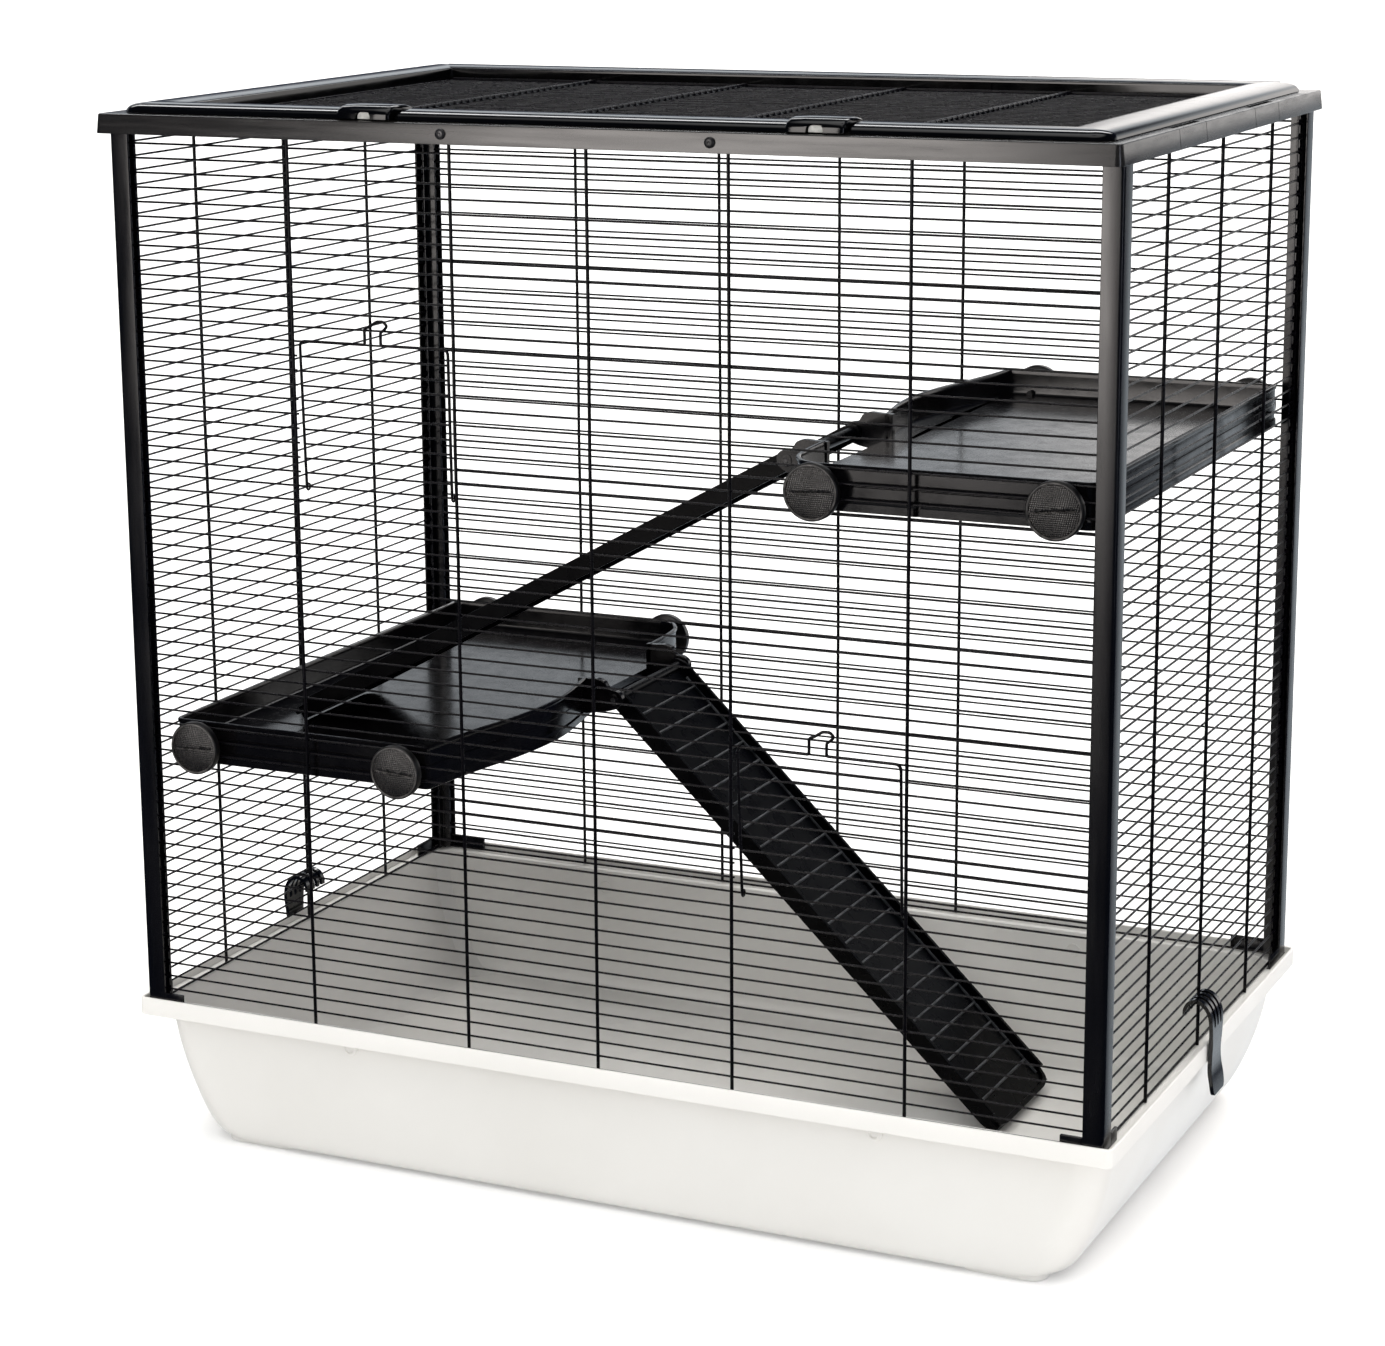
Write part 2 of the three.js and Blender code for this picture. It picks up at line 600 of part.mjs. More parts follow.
// Knobs: a disc with a raised border and a grip bar, and a shaft into the shelf.
function knobBody() {
  const profile = [
    [0, -18], [2.5, -18], [2.5, 0], [KNOB_R, 0], [KNOB_R, 6], [KNOB_R - 1.6, 6.6], [KNOB_R - 2.4, 5.4], [0, 6.2],
  ];
  const g = new THREE.LatheGeometry(profile.map(([r, h]) => new THREE.Vector2(r, h)), 18);
  return join(solid(g), box(-16, 16, 5, 8.6, -1.4, 1.4));
}
const knobSolid = knobBody();
for (const [name, shelf] of Object.entries(SHELVES)) {
  for (const [side, sy] of [['front', -1], ['back', 1]]) {
    for (const [place, u] of [['outer', -KNOB_U], ['inner', KNOB_U]]) {
      const knob = addMesh(`knob_${name}_${side}_${place}`, toGeometry(knobSolid), knobMaterial);
      knob.position.set(shelf.x + (shelf.turned ? -u : u), sy * KNOB_BACK_Y, shelf.z + KNOB_W);
      if (sy < 0) knob.rotation.x = Math.PI;
    }
  }
}

// ---------------------------------------------------------------- ramps
// In the ramp's own frame: the pivot is at the origin and the ramp runs along +X.
function rampBody(length) {
  const h = RAMP_RAIL_H / 2;
  const rail = (a, b) =>
    plateXZ([[-h, 0], [-h * 0.7, -h * 0.7], [0, -h], [length, -h], [length, h], [0, h], [-h * 0.7, h * 0.7]], a, b);
  const deck = box(9, length, -RAMP_HALF + 1, RAMP_HALF - 1, -1.5, 1.5);
  const end = box(length - 4, length, -RAMP_HALF + 1, RAMP_HALF - 1, -h, 3.5);
  const rungs = [];
  for (let s = 22; s < length - 12; s += RUNG_STEP) {
    rungs.push(box(s - 1.2, s + 1.2, -RAMP_HALF + 3, RAMP_HALF - 3, 1, 3.4));
  }
  const body = join(rail(-RAMP_HALF, -RAMP_HALF + RAMP_RAIL), rail(RAMP_HALF - RAMP_RAIL, RAMP_HALF), deck, end, rungs);
  // rounded corners at the foot
  const a = length;
  const b = RAMP_HALF;
  const plan = plate(
    [[-12, -b - 1], [a - 14, -b - 1], [a - 14, -b], [a - 5, -b + 4], [a - 1, -b + 12], [a, -b + 14], [a, b - 14], [a - 1, b - 12], [a - 5, b - 4], [a - 14, b], [a - 14, b + 1], [-12, b + 1]],
    -20, 20,
  );
  return cut(body.intersect(plan), bar('y', -b - 1, b + 1, 0, 0, 2.5, 10));
}
// The foot's lower edge rests on the floor below: the slope follows from the height.
function restAngle(height, length) {
  const h = RAMP_RAIL_H / 2;
  return Math.asin(height / Math.hypot(length, h)) - Math.atan2(h, length);
}
const RAMP_FLOORS = { lower: TRAY_FLOOR, upper: SHELVES.lower.z + SHELF_FLOOR };
for (const [name, shelf] of Object.entries(SHELVES)) {
  const dir = shelf.turned ? -1 : 1;
  const height = shelf.z + RAMP_W - RAMP_FLOORS[name] - 0.4;
  const slope = restAngle(height, RAMP_LENGTHS[name]);
  const mesh = addMesh(`ramp_${name}`, toGeometry(rampBody(RAMP_LENGTHS[name])), rampMaterial);
  mesh.position.set(shelf.x + dir * RAMP_U, dir * RAMP_V, shelf.z + RAMP_W);
  mesh.rotation.order = 'ZYX';
  mesh.rotation.set(0, slope, shelf.turned ? Math.PI : 0);

  const reach = RAMP_HALF + 0.6 + 6.4;
  addMesh(
    `ramp_pin_${name}`,
    toGeometry(bar('y', dir * RAMP_V - reach, dir * RAMP_V + reach, shelf.x + dir * RAMP_U, shelf.z + RAMP_W, 2.2, 12)),
    steelMaterial,
  );
}

// ---------------------------------------------------------------- side clips
// Fingers hook over a wire of the side panel, a strap passes the tray's rim and
// the paddle flares out below it.
function clipBody() {
  const outline = [
    // outside, from the paddle up and over the hook
    [397.2, 80], [396.6, 88], [394.7, 98], [394.4, 108], [394.8, 118], [394.9, 130], [394.2, 139], [391.4, 146.4],
    [386.4, 151.2], [380.4, 152.4], [375.2, 150], [372.2, 145], [371.8, 139.6],
    // round the wire and down the inside
    [374, 139.4], [374.6, 143.8], [376.8, 147.6], [380.6, 149.4], [385.4, 148.4], [389.4, 144], [391.5, 138], [392, 130],
    [391.6, 118], [390.9, 106], [391.6, 97], [393.7, 88], [394.4, 80],
  ];
  let body = plateXZ(outline.reverse(), -CLIP_HALF, CLIP_HALF);
  // slots between the four fingers; the middle one clears the panel's thick bar
  for (const y of [-7.4, 0, 7.4]) body = cut(body, box(360, 400, y - 1.9, y + 1.9, 131, 160));
  // narrow waist and rounded paddle, seen from the side of the cage
  const b = CLIP_HALF;
  const face = plateYZ(
    [[-b + 4, 78], [b - 4, 78], [b, 84], [b, 94], [b - 4.5, 106], [b - 5, 116], [b - 2, 126], [b, 134], [b, 150], [-b, 150], [-b, 134], [-b + 2, 126], [-b + 5, 116], [-b + 4.5, 106], [-b, 94], [-b, 84]],
    360, 410,
  );
  return body.intersect(face);
}
const clipSolid = clipBody();
for (const [hand, turned] of [['left', true], ['right', false]]) {
  const mesh = addMesh(`tray_clip_${hand}`, toGeometry(clipSolid), clipMaterial);
  if (turned) mesh.rotation.z = Math.PI;
}

export default group;
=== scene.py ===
"""A two-storey wire pet cage, dressed for a close look.

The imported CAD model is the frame. Lengths in this file are millimetres unless a
name says otherwise; MM turns them into Blender's metres. The front faces -Y.
"""
import math
import random

import bmesh
import bpy
from mathutils import Matrix, Vector


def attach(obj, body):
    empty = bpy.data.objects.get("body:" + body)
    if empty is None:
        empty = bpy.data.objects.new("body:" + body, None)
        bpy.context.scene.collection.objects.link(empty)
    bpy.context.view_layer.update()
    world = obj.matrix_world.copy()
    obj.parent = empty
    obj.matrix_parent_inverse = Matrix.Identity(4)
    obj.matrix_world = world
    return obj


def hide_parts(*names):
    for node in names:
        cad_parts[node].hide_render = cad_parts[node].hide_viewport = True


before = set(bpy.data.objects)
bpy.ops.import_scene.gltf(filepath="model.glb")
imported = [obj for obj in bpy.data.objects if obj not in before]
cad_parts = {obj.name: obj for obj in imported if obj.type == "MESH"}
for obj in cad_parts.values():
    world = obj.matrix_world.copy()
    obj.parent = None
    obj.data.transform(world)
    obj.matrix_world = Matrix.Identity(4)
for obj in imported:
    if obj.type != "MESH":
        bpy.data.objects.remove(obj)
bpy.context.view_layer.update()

MM = 0.001
scene = bpy.context.scene
scene.view_settings.view_transform = "Standard"

# ------------------------------------------------------------------ dimensions
RIM_TOP, RIM_HALF, RIM_HEIGHT, RIM_LIP, GUTTER = 118, (390, 237), 14, 2.6, 112.2
TRAY_WALL, TRAY_FLOOR = 2.8, 7
# height, half width, half depth and corner radius of the tray's outer wall
TRAY_WALLS = [
    (4, 340, 213, 32), (9, 348, 216, 30), (22, 357, 217.5, 28),
    (48, 368, 218.5, 26), (76, 376, 219.5, 24), (103, 380, 220.5, 22),
]
FOOT_CENTRE, FOOT_HALF = (302, 190), (32, 20)
BOSS_X, BOSS_Y, BOSS_Z = 212, 219.4, 97
MARK_Y, MARK_R = 217.3, 5.2

POST_HALF, POST_FRONT, POST_SIDE = (382.8, 234.1), 15, 17.5
POST_BOTTOM, POST_TOP = 113.8, 790
CORNERS = {
    "front_left": (-1, -1), "front_right": (1, -1),
    "rear_left": (-1, 1), "rear_right": (1, 1),
}

PITCH, ROWS, FIRST_ROW = 10.594, 64, 113.8
WIRE_R, BAR_R, EDGE_R = 0.8, 1.3, 1.0
FRONT_ROW_Y, FRONT_BAR_Y, FRONT_END_X = 226.4, 228.5, 372
SIDE_ROW_X, SIDE_BAR_X, SIDE_END_Y = 377.4, 379.5, 222
FRONT_BARS, SIDE_BARS = (-237, -106, 0, 106, 237), (-128, 0, 128)
BAR_LOW, BAR_TOP, EDGE_LOW, EDGE_OUT = 113, 789.5, 114, 0.5
TOOTH_GAP, DOORWAY_REACH = 2.4, 1.6

DOORS = {
    "upper": dict(bars=(-237, -106), top=(-231.2, -110.4), foot=(-229.2, -109.6),
                  hinge=39, loop=-171),
    "lower": dict(bars=(106, 237), top=(111.2, 232.6), foot=(114.4, 234.1),
                  hinge=14, loop=171.5),
}
DOOR_ROWS, DOOR_WIRE_R, DOOR_WIRE_Y, DOOR_ROW_Y = 10, 1.1, 228.6, 228.5
DOOR_EYE_R, EYE_WIRE_R = 2.2, 0.85

ROOF_HALF, ROOF_TOP, ROOF_LIP, ROOF_FLANGE = (384.5, 247.6), 793, 778.8, 45.5
SLOT_X, SLOT_Y, SLOT_HALF = (376, 380.5), 92, 31
ROOF_UNDER, ROOF_SKIN, SEAM_HALF = 784, 2.5, 0.45
SCREW_X, SCREW_Z = 101.5, 786
LID_HALF, LID_BOTTOM, LID_TOP, LID_STRIP = (373.5, 236.6), 793.4, 800, 35.9
LID_INNER = (LID_HALF[0] - LID_STRIP - 2, LID_HALF[1] - LID_STRIP - 2)
LID_ROW_Z, LID_ROWS, LID_BARS = 788.5, 37, (-202.5, -67.5, 67.5, 202.5)
LID_PIVOT, LID_BARREL, LID_HINGE_X = (232, 796.5), 3.1, 168
LATCHES, LATCH_HALF, LATCH_PIVOT = {"left": -166, "right": 174}, 21, (-209, 797.5)
LATCH_MIDDLE, LATCH_CROWN, PIN_R, PIN_HOLE_R = (-225, 798.5), 0.55, 1.5, 1.8

SHELVES = {"lower": (-245, 307.6, False), "upper": (254.5, 539.2, True)}
SHELF_FLOOR, SHELF_SKIN = 13, 3
KNOB_U, KNOB_W, KNOB_R, KNOB_BACK_Y = 86, 14, 20, 230.3
RAMP_V, RAMP_U, RAMP_W = 77.5, 143, 16.5
RAMP_LENGTHS, RAMP_HALF = {"lower": 448, "upper": 474}, 59.5
RAMP_RAIL, RAMP_RAIL_H, RUNG_STEP, FIRST_RUNG = 4, 14, 20, 22
RAMP_GAP, LUG_WIDTH, LUG_BARREL_R, ROD_R = 0.6, 5.5, 4.6, 2.2
SHELF_RIBS = (-150, -75, 0, 75, 150)
CLIP_HALF, CLIP_BOUNDS = 14, (360, 410)
FINGER_GAPS, FINGER_GAP_HALF, FINGER_GAP_Z = (-7.4, 0, 7.4), 1.9, (131, 160)


def row_z(i):
    return FIRST_ROW + PITCH * i


# ------------------------------------------------------------------ geometry
class Form:
    """Points and faces of one piece, in millimetres."""

    def __init__(self):
        self.points, self.faces = [], []

    def add(self, points, faces):
        n = len(self.points)
        self.points += [tuple(p) for p in points]
        self.faces += [tuple(n + i for i in f) for f in faces]
        return self

    def skin(self, rings, closed=False, capped=True):
        """Faces between rings with equally many points."""
        n, m = len(rings[0]), len(rings)
        faces = []
        for i in range(m if closed else m - 1):
            a, b = i * n, (i + 1) % m * n
            for j in range(n):
                k = (j + 1) % n
                faces.append((a + j, a + k, b + k, b + j))
        if capped and not closed:
            faces.append(tuple(range(n - 1, -1, -1)))
            faces.append(tuple(range((m - 1) * n, m * n)))
        return self.add([p for r in rings for p in r], faces)

    def tube(self, path, radius, sides=8, closed=False):
        """A round wire along a path, with mitred bends."""
        p = [Vector(v) for v in path]
        n = len(p)
        legs = [(p[(i + 1) % n] - p[i]).normalized() for i in range(n if closed else n - 1)]
        side = legs[0].orthogonal().normalized()
        rings = []
        for i in range(n):
            before = legs[i - 1] if i or closed else legs[0]
            after = legs[i] if i < len(legs) else legs[-1]
            mitre = (before + after).normalized()
            side = (side - before * side.dot(before)).normalized()
            up = before.cross(side)
            ring_points = []
            for j in range(sides):
                t = math.tau * j / sides
                q = side * (radius * math.cos(t)) + up * (radius * math.sin(t))
                q -= before * (q.dot(mitre) / before.dot(mitre))
                ring_points.append(p[i] + q)
            rings.append(ring_points)
        return self.skin(rings, closed=closed)

    def prism(self, outline, axis, low, high):
        """A plate with the given outline on the two other axes."""
        def at(a, b, c):
            return {"x": (c, a, b), "y": (a, c, b), "z": (a, b, c)}[axis]
        return self.skin([[at(a, b, c) for a, b in outline] for c in (low, high)])

    def block(self, x0, x1, y0, y1, z0, z1):
        return self.prism([(x0, y0), (x1, y0), (x1, y1), (x0, y1)], "z", z0, z1)

    def lathe(self, profile, centre, axis, steps=24):
        """Turns (radius, height) pairs about an axis through a point."""
        cx, cy, cz = centre
        rings = []
        for r, h in profile:
            circle = []
            for j in range(steps):
                t = math.tau * j / steps
                a, b = max(r, 0.01) * math.cos(t), max(r, 0.01) * math.sin(t)
                circle.append({
                    "x": (cx + h, cy + a, cz + b),
                    "y": (cx + a, cy + h, cz + b),
                    "z": (cx + a, cy + b, cz + h),
                }[axis])
            rings.append(circle)
        return self.skin(rings)


def around(steps):
    """Angles at equal steps round a full turn."""
    return [math.tau * k / steps for k in range(steps)]


def ring(hx, hy, r, z, steps=8):
    """A rounded rectangle at height z."""
    points = []
    for sx, sy, start in ((1, 1, 0), (-1, 1, 90), (-1, -1, 180), (1, -1, 270)):
        for i in range(steps + 1):
            t = math.radians(start + 90 * i / steps)
            points.append((sx * (hx - r) + r * math.cos(t), sy * (hy - r) + r * math.sin(t), z))
    return points


def spline(points, steps):
    """A smooth open curve through the points, which may have any number of axes."""
    out = []
    for i in range(len(points) - 1):
        p0, p1 = points[max(i - 1, 0)], points[i]
        p2, p3 = points[i + 1], points[min(i + 2, len(points) - 1)]
        for s in range(steps):
            t = s / steps
            out.append(tuple(
                0.5 * (2 * b + (c - a) * t + (2 * a - 5 * b + 4 * c - d) * t * t
                       + (3 * b - a - 3 * c + d) * t ** 3)
                for a, b, c, d in zip(p0, p1, p2, p3)
            ))
    return out + [tuple(points[-1])]


def rounded(points, radius, steps=4, closed=True):
    """The outline or path with its corners rounded off."""
    out = []
    n = len(points)
    for i, point in enumerate(points):
        p = Vector(point)
        if not closed and i in (0, n - 1):
            out.append(tuple(p))
            continue
        a, b = Vector(points[i - 1]) - p, Vector(points[(i + 1) % n]) - p
        r = radius[i] if isinstance(radius, (list, tuple)) else radius
        reach = min(r, a.length * 0.49, b.length * 0.49)
        if reach < 0.02:
            out.append(tuple(p))
            continue
        start, end = p + a.normalized() * reach, p + b.normalized() * reach
        for s in range(steps + 1):
            t = s / steps
            out.append(tuple(start * (1 - t) ** 2 + p * 2 * t * (1 - t) + end * t * t))
    return out


def inset(points, d):
    """The counter-clockwise outline moved inwards by d."""
    out = []
    n = len(points)
    for i in range(n):
        a, p, b = (Vector(points[j]) for j in ((i - 1) % n, i, (i + 1) % n))
        e0, e1 = (p - a).normalized(), (b - p).normalized()
        n0, n1 = Vector((-e0.y, e0.x)), Vector((-e1.y, e1.x))
        out.append(tuple(p + (n0 + n1) * (d / (1 + n0.dot(n1)))))
    return out


def to_mesh(name, form, place=None):
    mesh = bpy.data.meshes.new(name)
    mesh.from_pydata([Vector(p) * MM for p in form.points], [], form.faces)
    bm = bmesh.new()
    bm.from_mesh(mesh)
    bmesh.ops.remove_doubles(bm, verts=bm.verts, dist=1e-6)
    bmesh.ops.dissolve_degenerate(bm, edges=bm.edges, dist=1e-7)
    bmesh.ops.recalc_face_normals(bm, faces=bm.faces)
    bm.to_mesh(mesh)
    bm.free()
    if place is not None:
        mesh.transform(place)
    return mesh


def carve(obj, form, operation="DIFFERENCE"):
    """Cuts the form out of the piece, or keeps only what lies inside it."""
    tool = bpy.data.objects.new("tool", to_mesh("tool", form))
    scene.collection.objects.link(tool)
    cut = obj.modifiers.new("cut", "BOOLEAN")
    cut.object, cut.operation, cut.solver = tool, operation, "EXACT"
    bpy.context.view_layer.update()
    result = bpy.data.meshes.new_from_object(
        obj.evaluated_get(bpy.context.evaluated_depsgraph_get()))
    obj.modifiers.clear()
    obj.data = result
    bpy.data.objects.remove(tool)


def soften(obj, width, segments=2, angle=32):
    """Small rounded edges, as every moulding has."""
    edge = obj.modifiers.new("edge", "BEVEL")
    edge.width, edge.segments = width * MM, segments
    edge.limit_method, edge.angle_limit = "ANGLE", math.radians(angle)
    edge.harden_normals = True
    edge.use_clamp_overlap = True


def dress(obj, material, angle):
    """Gives the mesh its one material, smooth faces and creases above the angle."""
    obj.data.materials.clear()
    obj.data.materials.append(material)
    obj.data.polygons.foreach_set("use_smooth", [True] * len(obj.data.polygons))
    obj.data.set_sharp_from_angle(angle=math.radians(angle))


def finish(obj, material, body, slot, nodes=(), bevel=0.0, angle=35, place=None):
    """Places and dresses a piece, and ties it to its body."""
    if place is not None:
        obj.data.transform(place)
    dress(obj, material, angle)
    if bevel:
        soften(obj, bevel)
    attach(obj, body)
    if nodes:
        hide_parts(*nodes)
    return obj


def new_object(name, form):
    obj = bpy.data.objects.new(name, to_mesh(name, form))
    scene.collection.objects.link(obj)
    return obj


def piece(name, form, material, body, slot, nodes=(), **looks):
    return finish(new_object(name, form), material, body, slot, nodes, **looks)


def keep(node, material, bevel=0.3):
    """A CAD node whose shape is right stays, with its edges softened."""
    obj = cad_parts[node]
    dress(obj, material, 30)
    if bevel:
        weld = obj.modifiers.new("weld", "WELD")
        weld.merge_threshold = 2e-6
        soften(obj, bevel)


# ------------------------------------------------------------------ materials
def shader(name):
    """An empty Principled material and helpers to add and join its nodes."""
    material = bpy.data.materials.new(name)
    material.use_nodes = True
    tree = material.node_tree
    surface = tree.nodes["Principled BSDF"]

    def node(kind, **values):
        made = tree.nodes.new(kind)
        for key, value in values.items():
            setattr(made, key, value)
        return made

    def join(a, b):
        tree.links.new(a, b)

    return material, surface, node, join


def noise(node, join, coordinates, scale, detail=3.0, stretch=(1, 1, 1)):
    """Noise over the piece; scale is in lumps a metre."""
    mapping = node("ShaderNodeMapping")
    mapping.inputs["Scale"].default_value = stretch
    join(coordinates, mapping.inputs["Vector"])
    made = node("ShaderNodeTexNoise")
    made.inputs["Scale"].default_value = scale
    made.inputs["Detail"].default_value = detail
    join(mapping.outputs["Vector"], made.inputs["Vector"])
    return made.outputs["Fac"]


def ramp(node, join, factor, stops):
    """A colour that follows the factor through (position, colour) stops."""
    made = node("ShaderNodeValToRGB")
    elements = made.color_ramp.elements
    while len(elements) < len(stops):
        elements.new(0.5)
    for element, (position, color) in zip(elements, stops):
        element.position = position
        element.color = (*color, 1)
    join(factor, made.inputs["Fac"])
    return made.outputs["Color"]


def between(node, join, factor, low, high):
    """The middle of the noise's range, spread over low to high."""
    made = node("ShaderNodeMapRange")
    made.inputs["From Min"].default_value = 0.3
    made.inputs["From Max"].default_value = 0.7
    made.inputs["To Min"].default_value = low
    made.inputs["To Max"].default_value = high
    join(factor, made.inputs["Value"])
    return made.outputs["Result"]


def bumped(node, join, surface, height, strength, depth):
    """Relief on the surface, depth millimetres deep."""
    bump = node("ShaderNodeBump")
    bump.inputs["Strength"].default_value = strength
    bump.inputs["Distance"].default_value = depth * MM
    join(height, bump.inputs["Height"])
    join(bump.outputs["Normal"], surface.inputs["Normal"])


def plastic(name, dark, light, roughness, grain, specular=0.5, coat=0.0,
            stretch=(1, 1, 1), patch=14):
    """Moulded plastic: slow changes of tone, a fine grain and faint flow marks."""
    material, surface, node, join = shader(name)
    at = node("ShaderNodeTexCoord").outputs["Object"]
    tone = noise(node, join, at, patch, 4.0, stretch)
    join(ramp(node, join, tone, [(0.32, dark), (0.7, light)]), surface.inputs["Base Color"])
    blotch = noise(node, join, at, patch * 3.1, 3.0, stretch)
    join(between(node, join, blotch, *roughness), surface.inputs["Roughness"])
    scale, strength, depth = grain
    bumped(node, join, surface, noise(node, join, at, scale, 2.0, stretch), strength, depth)
    surface.inputs["Specular IOR Level"].default_value = specular
    surface.inputs["Coat Weight"].default_value = coat
    surface.inputs["Coat Roughness"].default_value = 0.08
    return material


def metal(name, dark, light, roughness, metallic, specular=0.5):
    """Metal or coated wire with uneven tone along it."""
    material, surface, node, join = shader(name)
    at = node("ShaderNodeTexCoord").outputs["Object"]
    tone = noise(node, join, at, 45, 3.0)
    join(ramp(node, join, tone, [(0.3, dark), (0.72, light)]), surface.inputs["Base Color"])
    join(between(node, join, noise(node, join, at, 130), *roughness),
         surface.inputs["Roughness"])
    bumped(node, join, surface, noise(node, join, at, 1500, 2.0), 0.12, 0.1)
    surface.inputs["Metallic"].default_value = metallic
    surface.inputs["Specular IOR Level"].default_value = specular
    return material


HATCH_PERIOD = 3.0


def hatched(name):
    """The knobs' face: fine ridges that cross on the slant."""
    material, surface, node, join = shader(name)
    at = node("ShaderNodeTexCoord").outputs["Object"]
    parts = node("ShaderNodeSeparateXYZ")
    join(at, parts.inputs["Vector"])

    def maths(operation, a, b):
        made = node("ShaderNodeMath", operation=operation)
        for socket, value in zip(made.inputs, (a, b)):
            if isinstance(value, (int, float)):
                socket.default_value = value
            else:
                join(value, socket)
        return made.outputs["Value"]

    x, z = parts.outputs["X"], parts.outputs["Z"]
    turns = math.tau / (HATCH_PERIOD * MM)
    waves = []
    for slope in (0.8, -1.3):
        across = maths("ADD", x, maths("MULTIPLY", z, slope))
        waves.append(maths("SINE", maths("MULTIPLY", across, turns), 0.0))
    weave = maths("MULTIPLY", waves[0], waves[1])
    height = maths("MULTIPLY_ADD", weave, 0.5)
    tone = between(node, join, noise(node, join, at, 60, 4.0), 0.35, 0.65)
    # the colour follows the ridges, darker in the grooves and lighter on the crests: painted shade
    # and highlight over a random tone
    tone_and_ridge_shade = maths("ADD", maths("MULTIPLY", weave, 0.5), tone)
    stops = [(0.3, (0.0005, 0.0005, 0.0005)), (0.85, (0.026, 0.023, 0.021))]
    join(ramp(node, join, tone_and_ridge_shade, stops), surface.inputs["Base Color"])
    bumped(node, join, surface, height, 0.65, 0.35)
    join(between(node, join, noise(node, join, at, 400), 0.20, 0.32),
         surface.inputs["Roughness"])
    return material


tray_plastic = plastic("tray_plastic", (0.77, 0.755, 0.72), (0.82, 0.808, 0.778),
                       (0.30, 0.42), (700, 0.05, 0.1), specular=0.4, patch=5)
post_plastic = plastic("post_plastic", (0.0004, 0.0005, 0.001), (0.001, 0.001, 0.002),
                       (0.16, 0.28), (1100, 0.10, 0.08), specular=0.45,
                       stretch=(1, 1, 0.12), patch=30)
roof_plastic = plastic("roof_plastic", (0.004, 0.004, 0.004), (0.012, 0.011, 0.010),
                       (0.16, 0.30), (900, 0.12, 0.08), stretch=(0.15, 0.4, 2.5), patch=26)
lid_plastic = plastic("lid_plastic", (0.0005, 0.0005, 0.0008), (0.0015, 0.0015, 0.0015),
                      (0.07, 0.13), (500, 0.05, 0.08), specular=0.24, coat=0.08, patch=18)
shelf_plastic = plastic("shelf_plastic", (0.0012, 0.0012, 0.0018), (0.0035, 0.003, 0.0032),
                        (0.12, 0.20), (1400, 0.14, 0.07), specular=0.3, patch=22)
ramp_plastic = plastic("ramp_plastic", (0.0002, 0.0002, 0.0005), (0.0008, 0.0008, 0.0014),
                       (0.24, 0.34), (1500, 0.12, 0.07), specular=0.06, patch=25)
# a pale copy of the ramp plastic for the rungs and their edge lines: painted highlight on the dark
# deck
rung_highlight_plastic = plastic("rung_highlight_plastic", (0.004, 0.005, 0.006), (0.062, 0.066, 0.072),
                       (0.3, 0.45), (1500, 0.3, 0.1), specular=0.4, patch=70)
clip_plastic = plastic("clip_plastic", (0.0005, 0.0006, 0.001), (0.002, 0.002, 0.003),
                       (0.08, 0.16), (700, 0.08, 0.06), coat=0.15, patch=60)
knob_plastic = hatched("knob_plastic")
knob_plain = plastic("knob_plain", (0.001, 0.001, 0.001), (0.004, 0.0036, 0.0036),
                     (0.34, 0.46), (900, 0.2, 0.1), specular=0.4, patch=80)
# a lighter copy of the knob plastic for the grip's crest and the border ring: painted highlight
knob_highlight_edge = plastic("knob_highlight_edge", (0.01, 0.009, 0.008), (0.09, 0.083, 0.078),
                    (0.4, 0.55), (900, 0.25, 0.1), patch=260)
wire_coat = metal("wire_coat", (0.0006, 0.0005, 0.001), (0.003, 0.0025, 0.004),
                  (0.22, 0.36), 0.0, specular=0.15)
steel = metal("steel", (0.010, 0.010, 0.011), (0.04, 0.04, 0.042), (0.25, 0.38), 0.5)
# the pale tone stands for light seen through the latch's finger notch: painted light
notch_light_pad = plastic("notch_light_pad", (0.50, 0.50, 0.46), (0.74, 0.73, 0.69),
                   (0.35, 0.5), (900, 0.3, 0.2), patch=300)

# ------------------------------------------------------------------ base tray
tray = Form()
walls = spline(TRAY_WALLS, 5)
outside = [ring(hx, hy, r, z, 10) for z, hx, hy, r in walls]
top_x, top_y, top_r = TRAY_WALLS[-1][1:]
under = GUTTER - TRAY_WALL
rim_x, rim_y = RIM_HALF
rim_foot = RIM_TOP - RIM_HEIGHT
rim = [(top_x + d, top_y + d, top_r, z) for d, z in ((0.6, under - 0.8), (1.6, under))]
rim += [
    (rim_x - d, rim_y - d, r, z) for d, r, z in (
        (TRAY_WALL, 3, under), (TRAY_WALL, 3, rim_foot + 0.4), (TRAY_WALL - 0.5, 3.4, rim_foot),
        (0.5, 4.6, rim_foot), (0, 5, rim_foot + 0.5), (0, 5, RIM_TOP - 1.3),
        (0.2, 4.8, RIM_TOP - 0.6), (0.6, 4.4, RIM_TOP - 0.15), (1.3, 3.7, RIM_TOP),
        (2.0, 3.0, RIM_TOP - 0.15), (RIM_LIP, 2.4, RIM_TOP - 0.8), (RIM_LIP, 2.4, GUTTER + 0.5),
        (RIM_LIP + 0.5, 2.2, GUTTER))
]
rim += [
    (top_x - TRAY_WALL + d, top_y - TRAY_WALL + d, top_r - TRAY_WALL, z)
    for d, z in ((1.4, GUTTER), (0.5, GUTTER - 0.5))
]


def faceted(points, per_corner=11, facets=3):
    """The ring's rounded corners become flat facets that meet in creases."""
    out = []
    for c in range(0, len(points), per_corner):
        arc = [Vector(p) for p in points[c:c + per_corner]]
        stops = [round(k * (per_corner - 1) / facets) for k in range(facets + 1)]
        for a, b in zip(stops, stops[1:]):
            out += [tuple(arc[a].lerp(arc[b], (k - a) / (b - a))) for k in range(a, b)]
        out.append(tuple(arc[-1]))
    return out


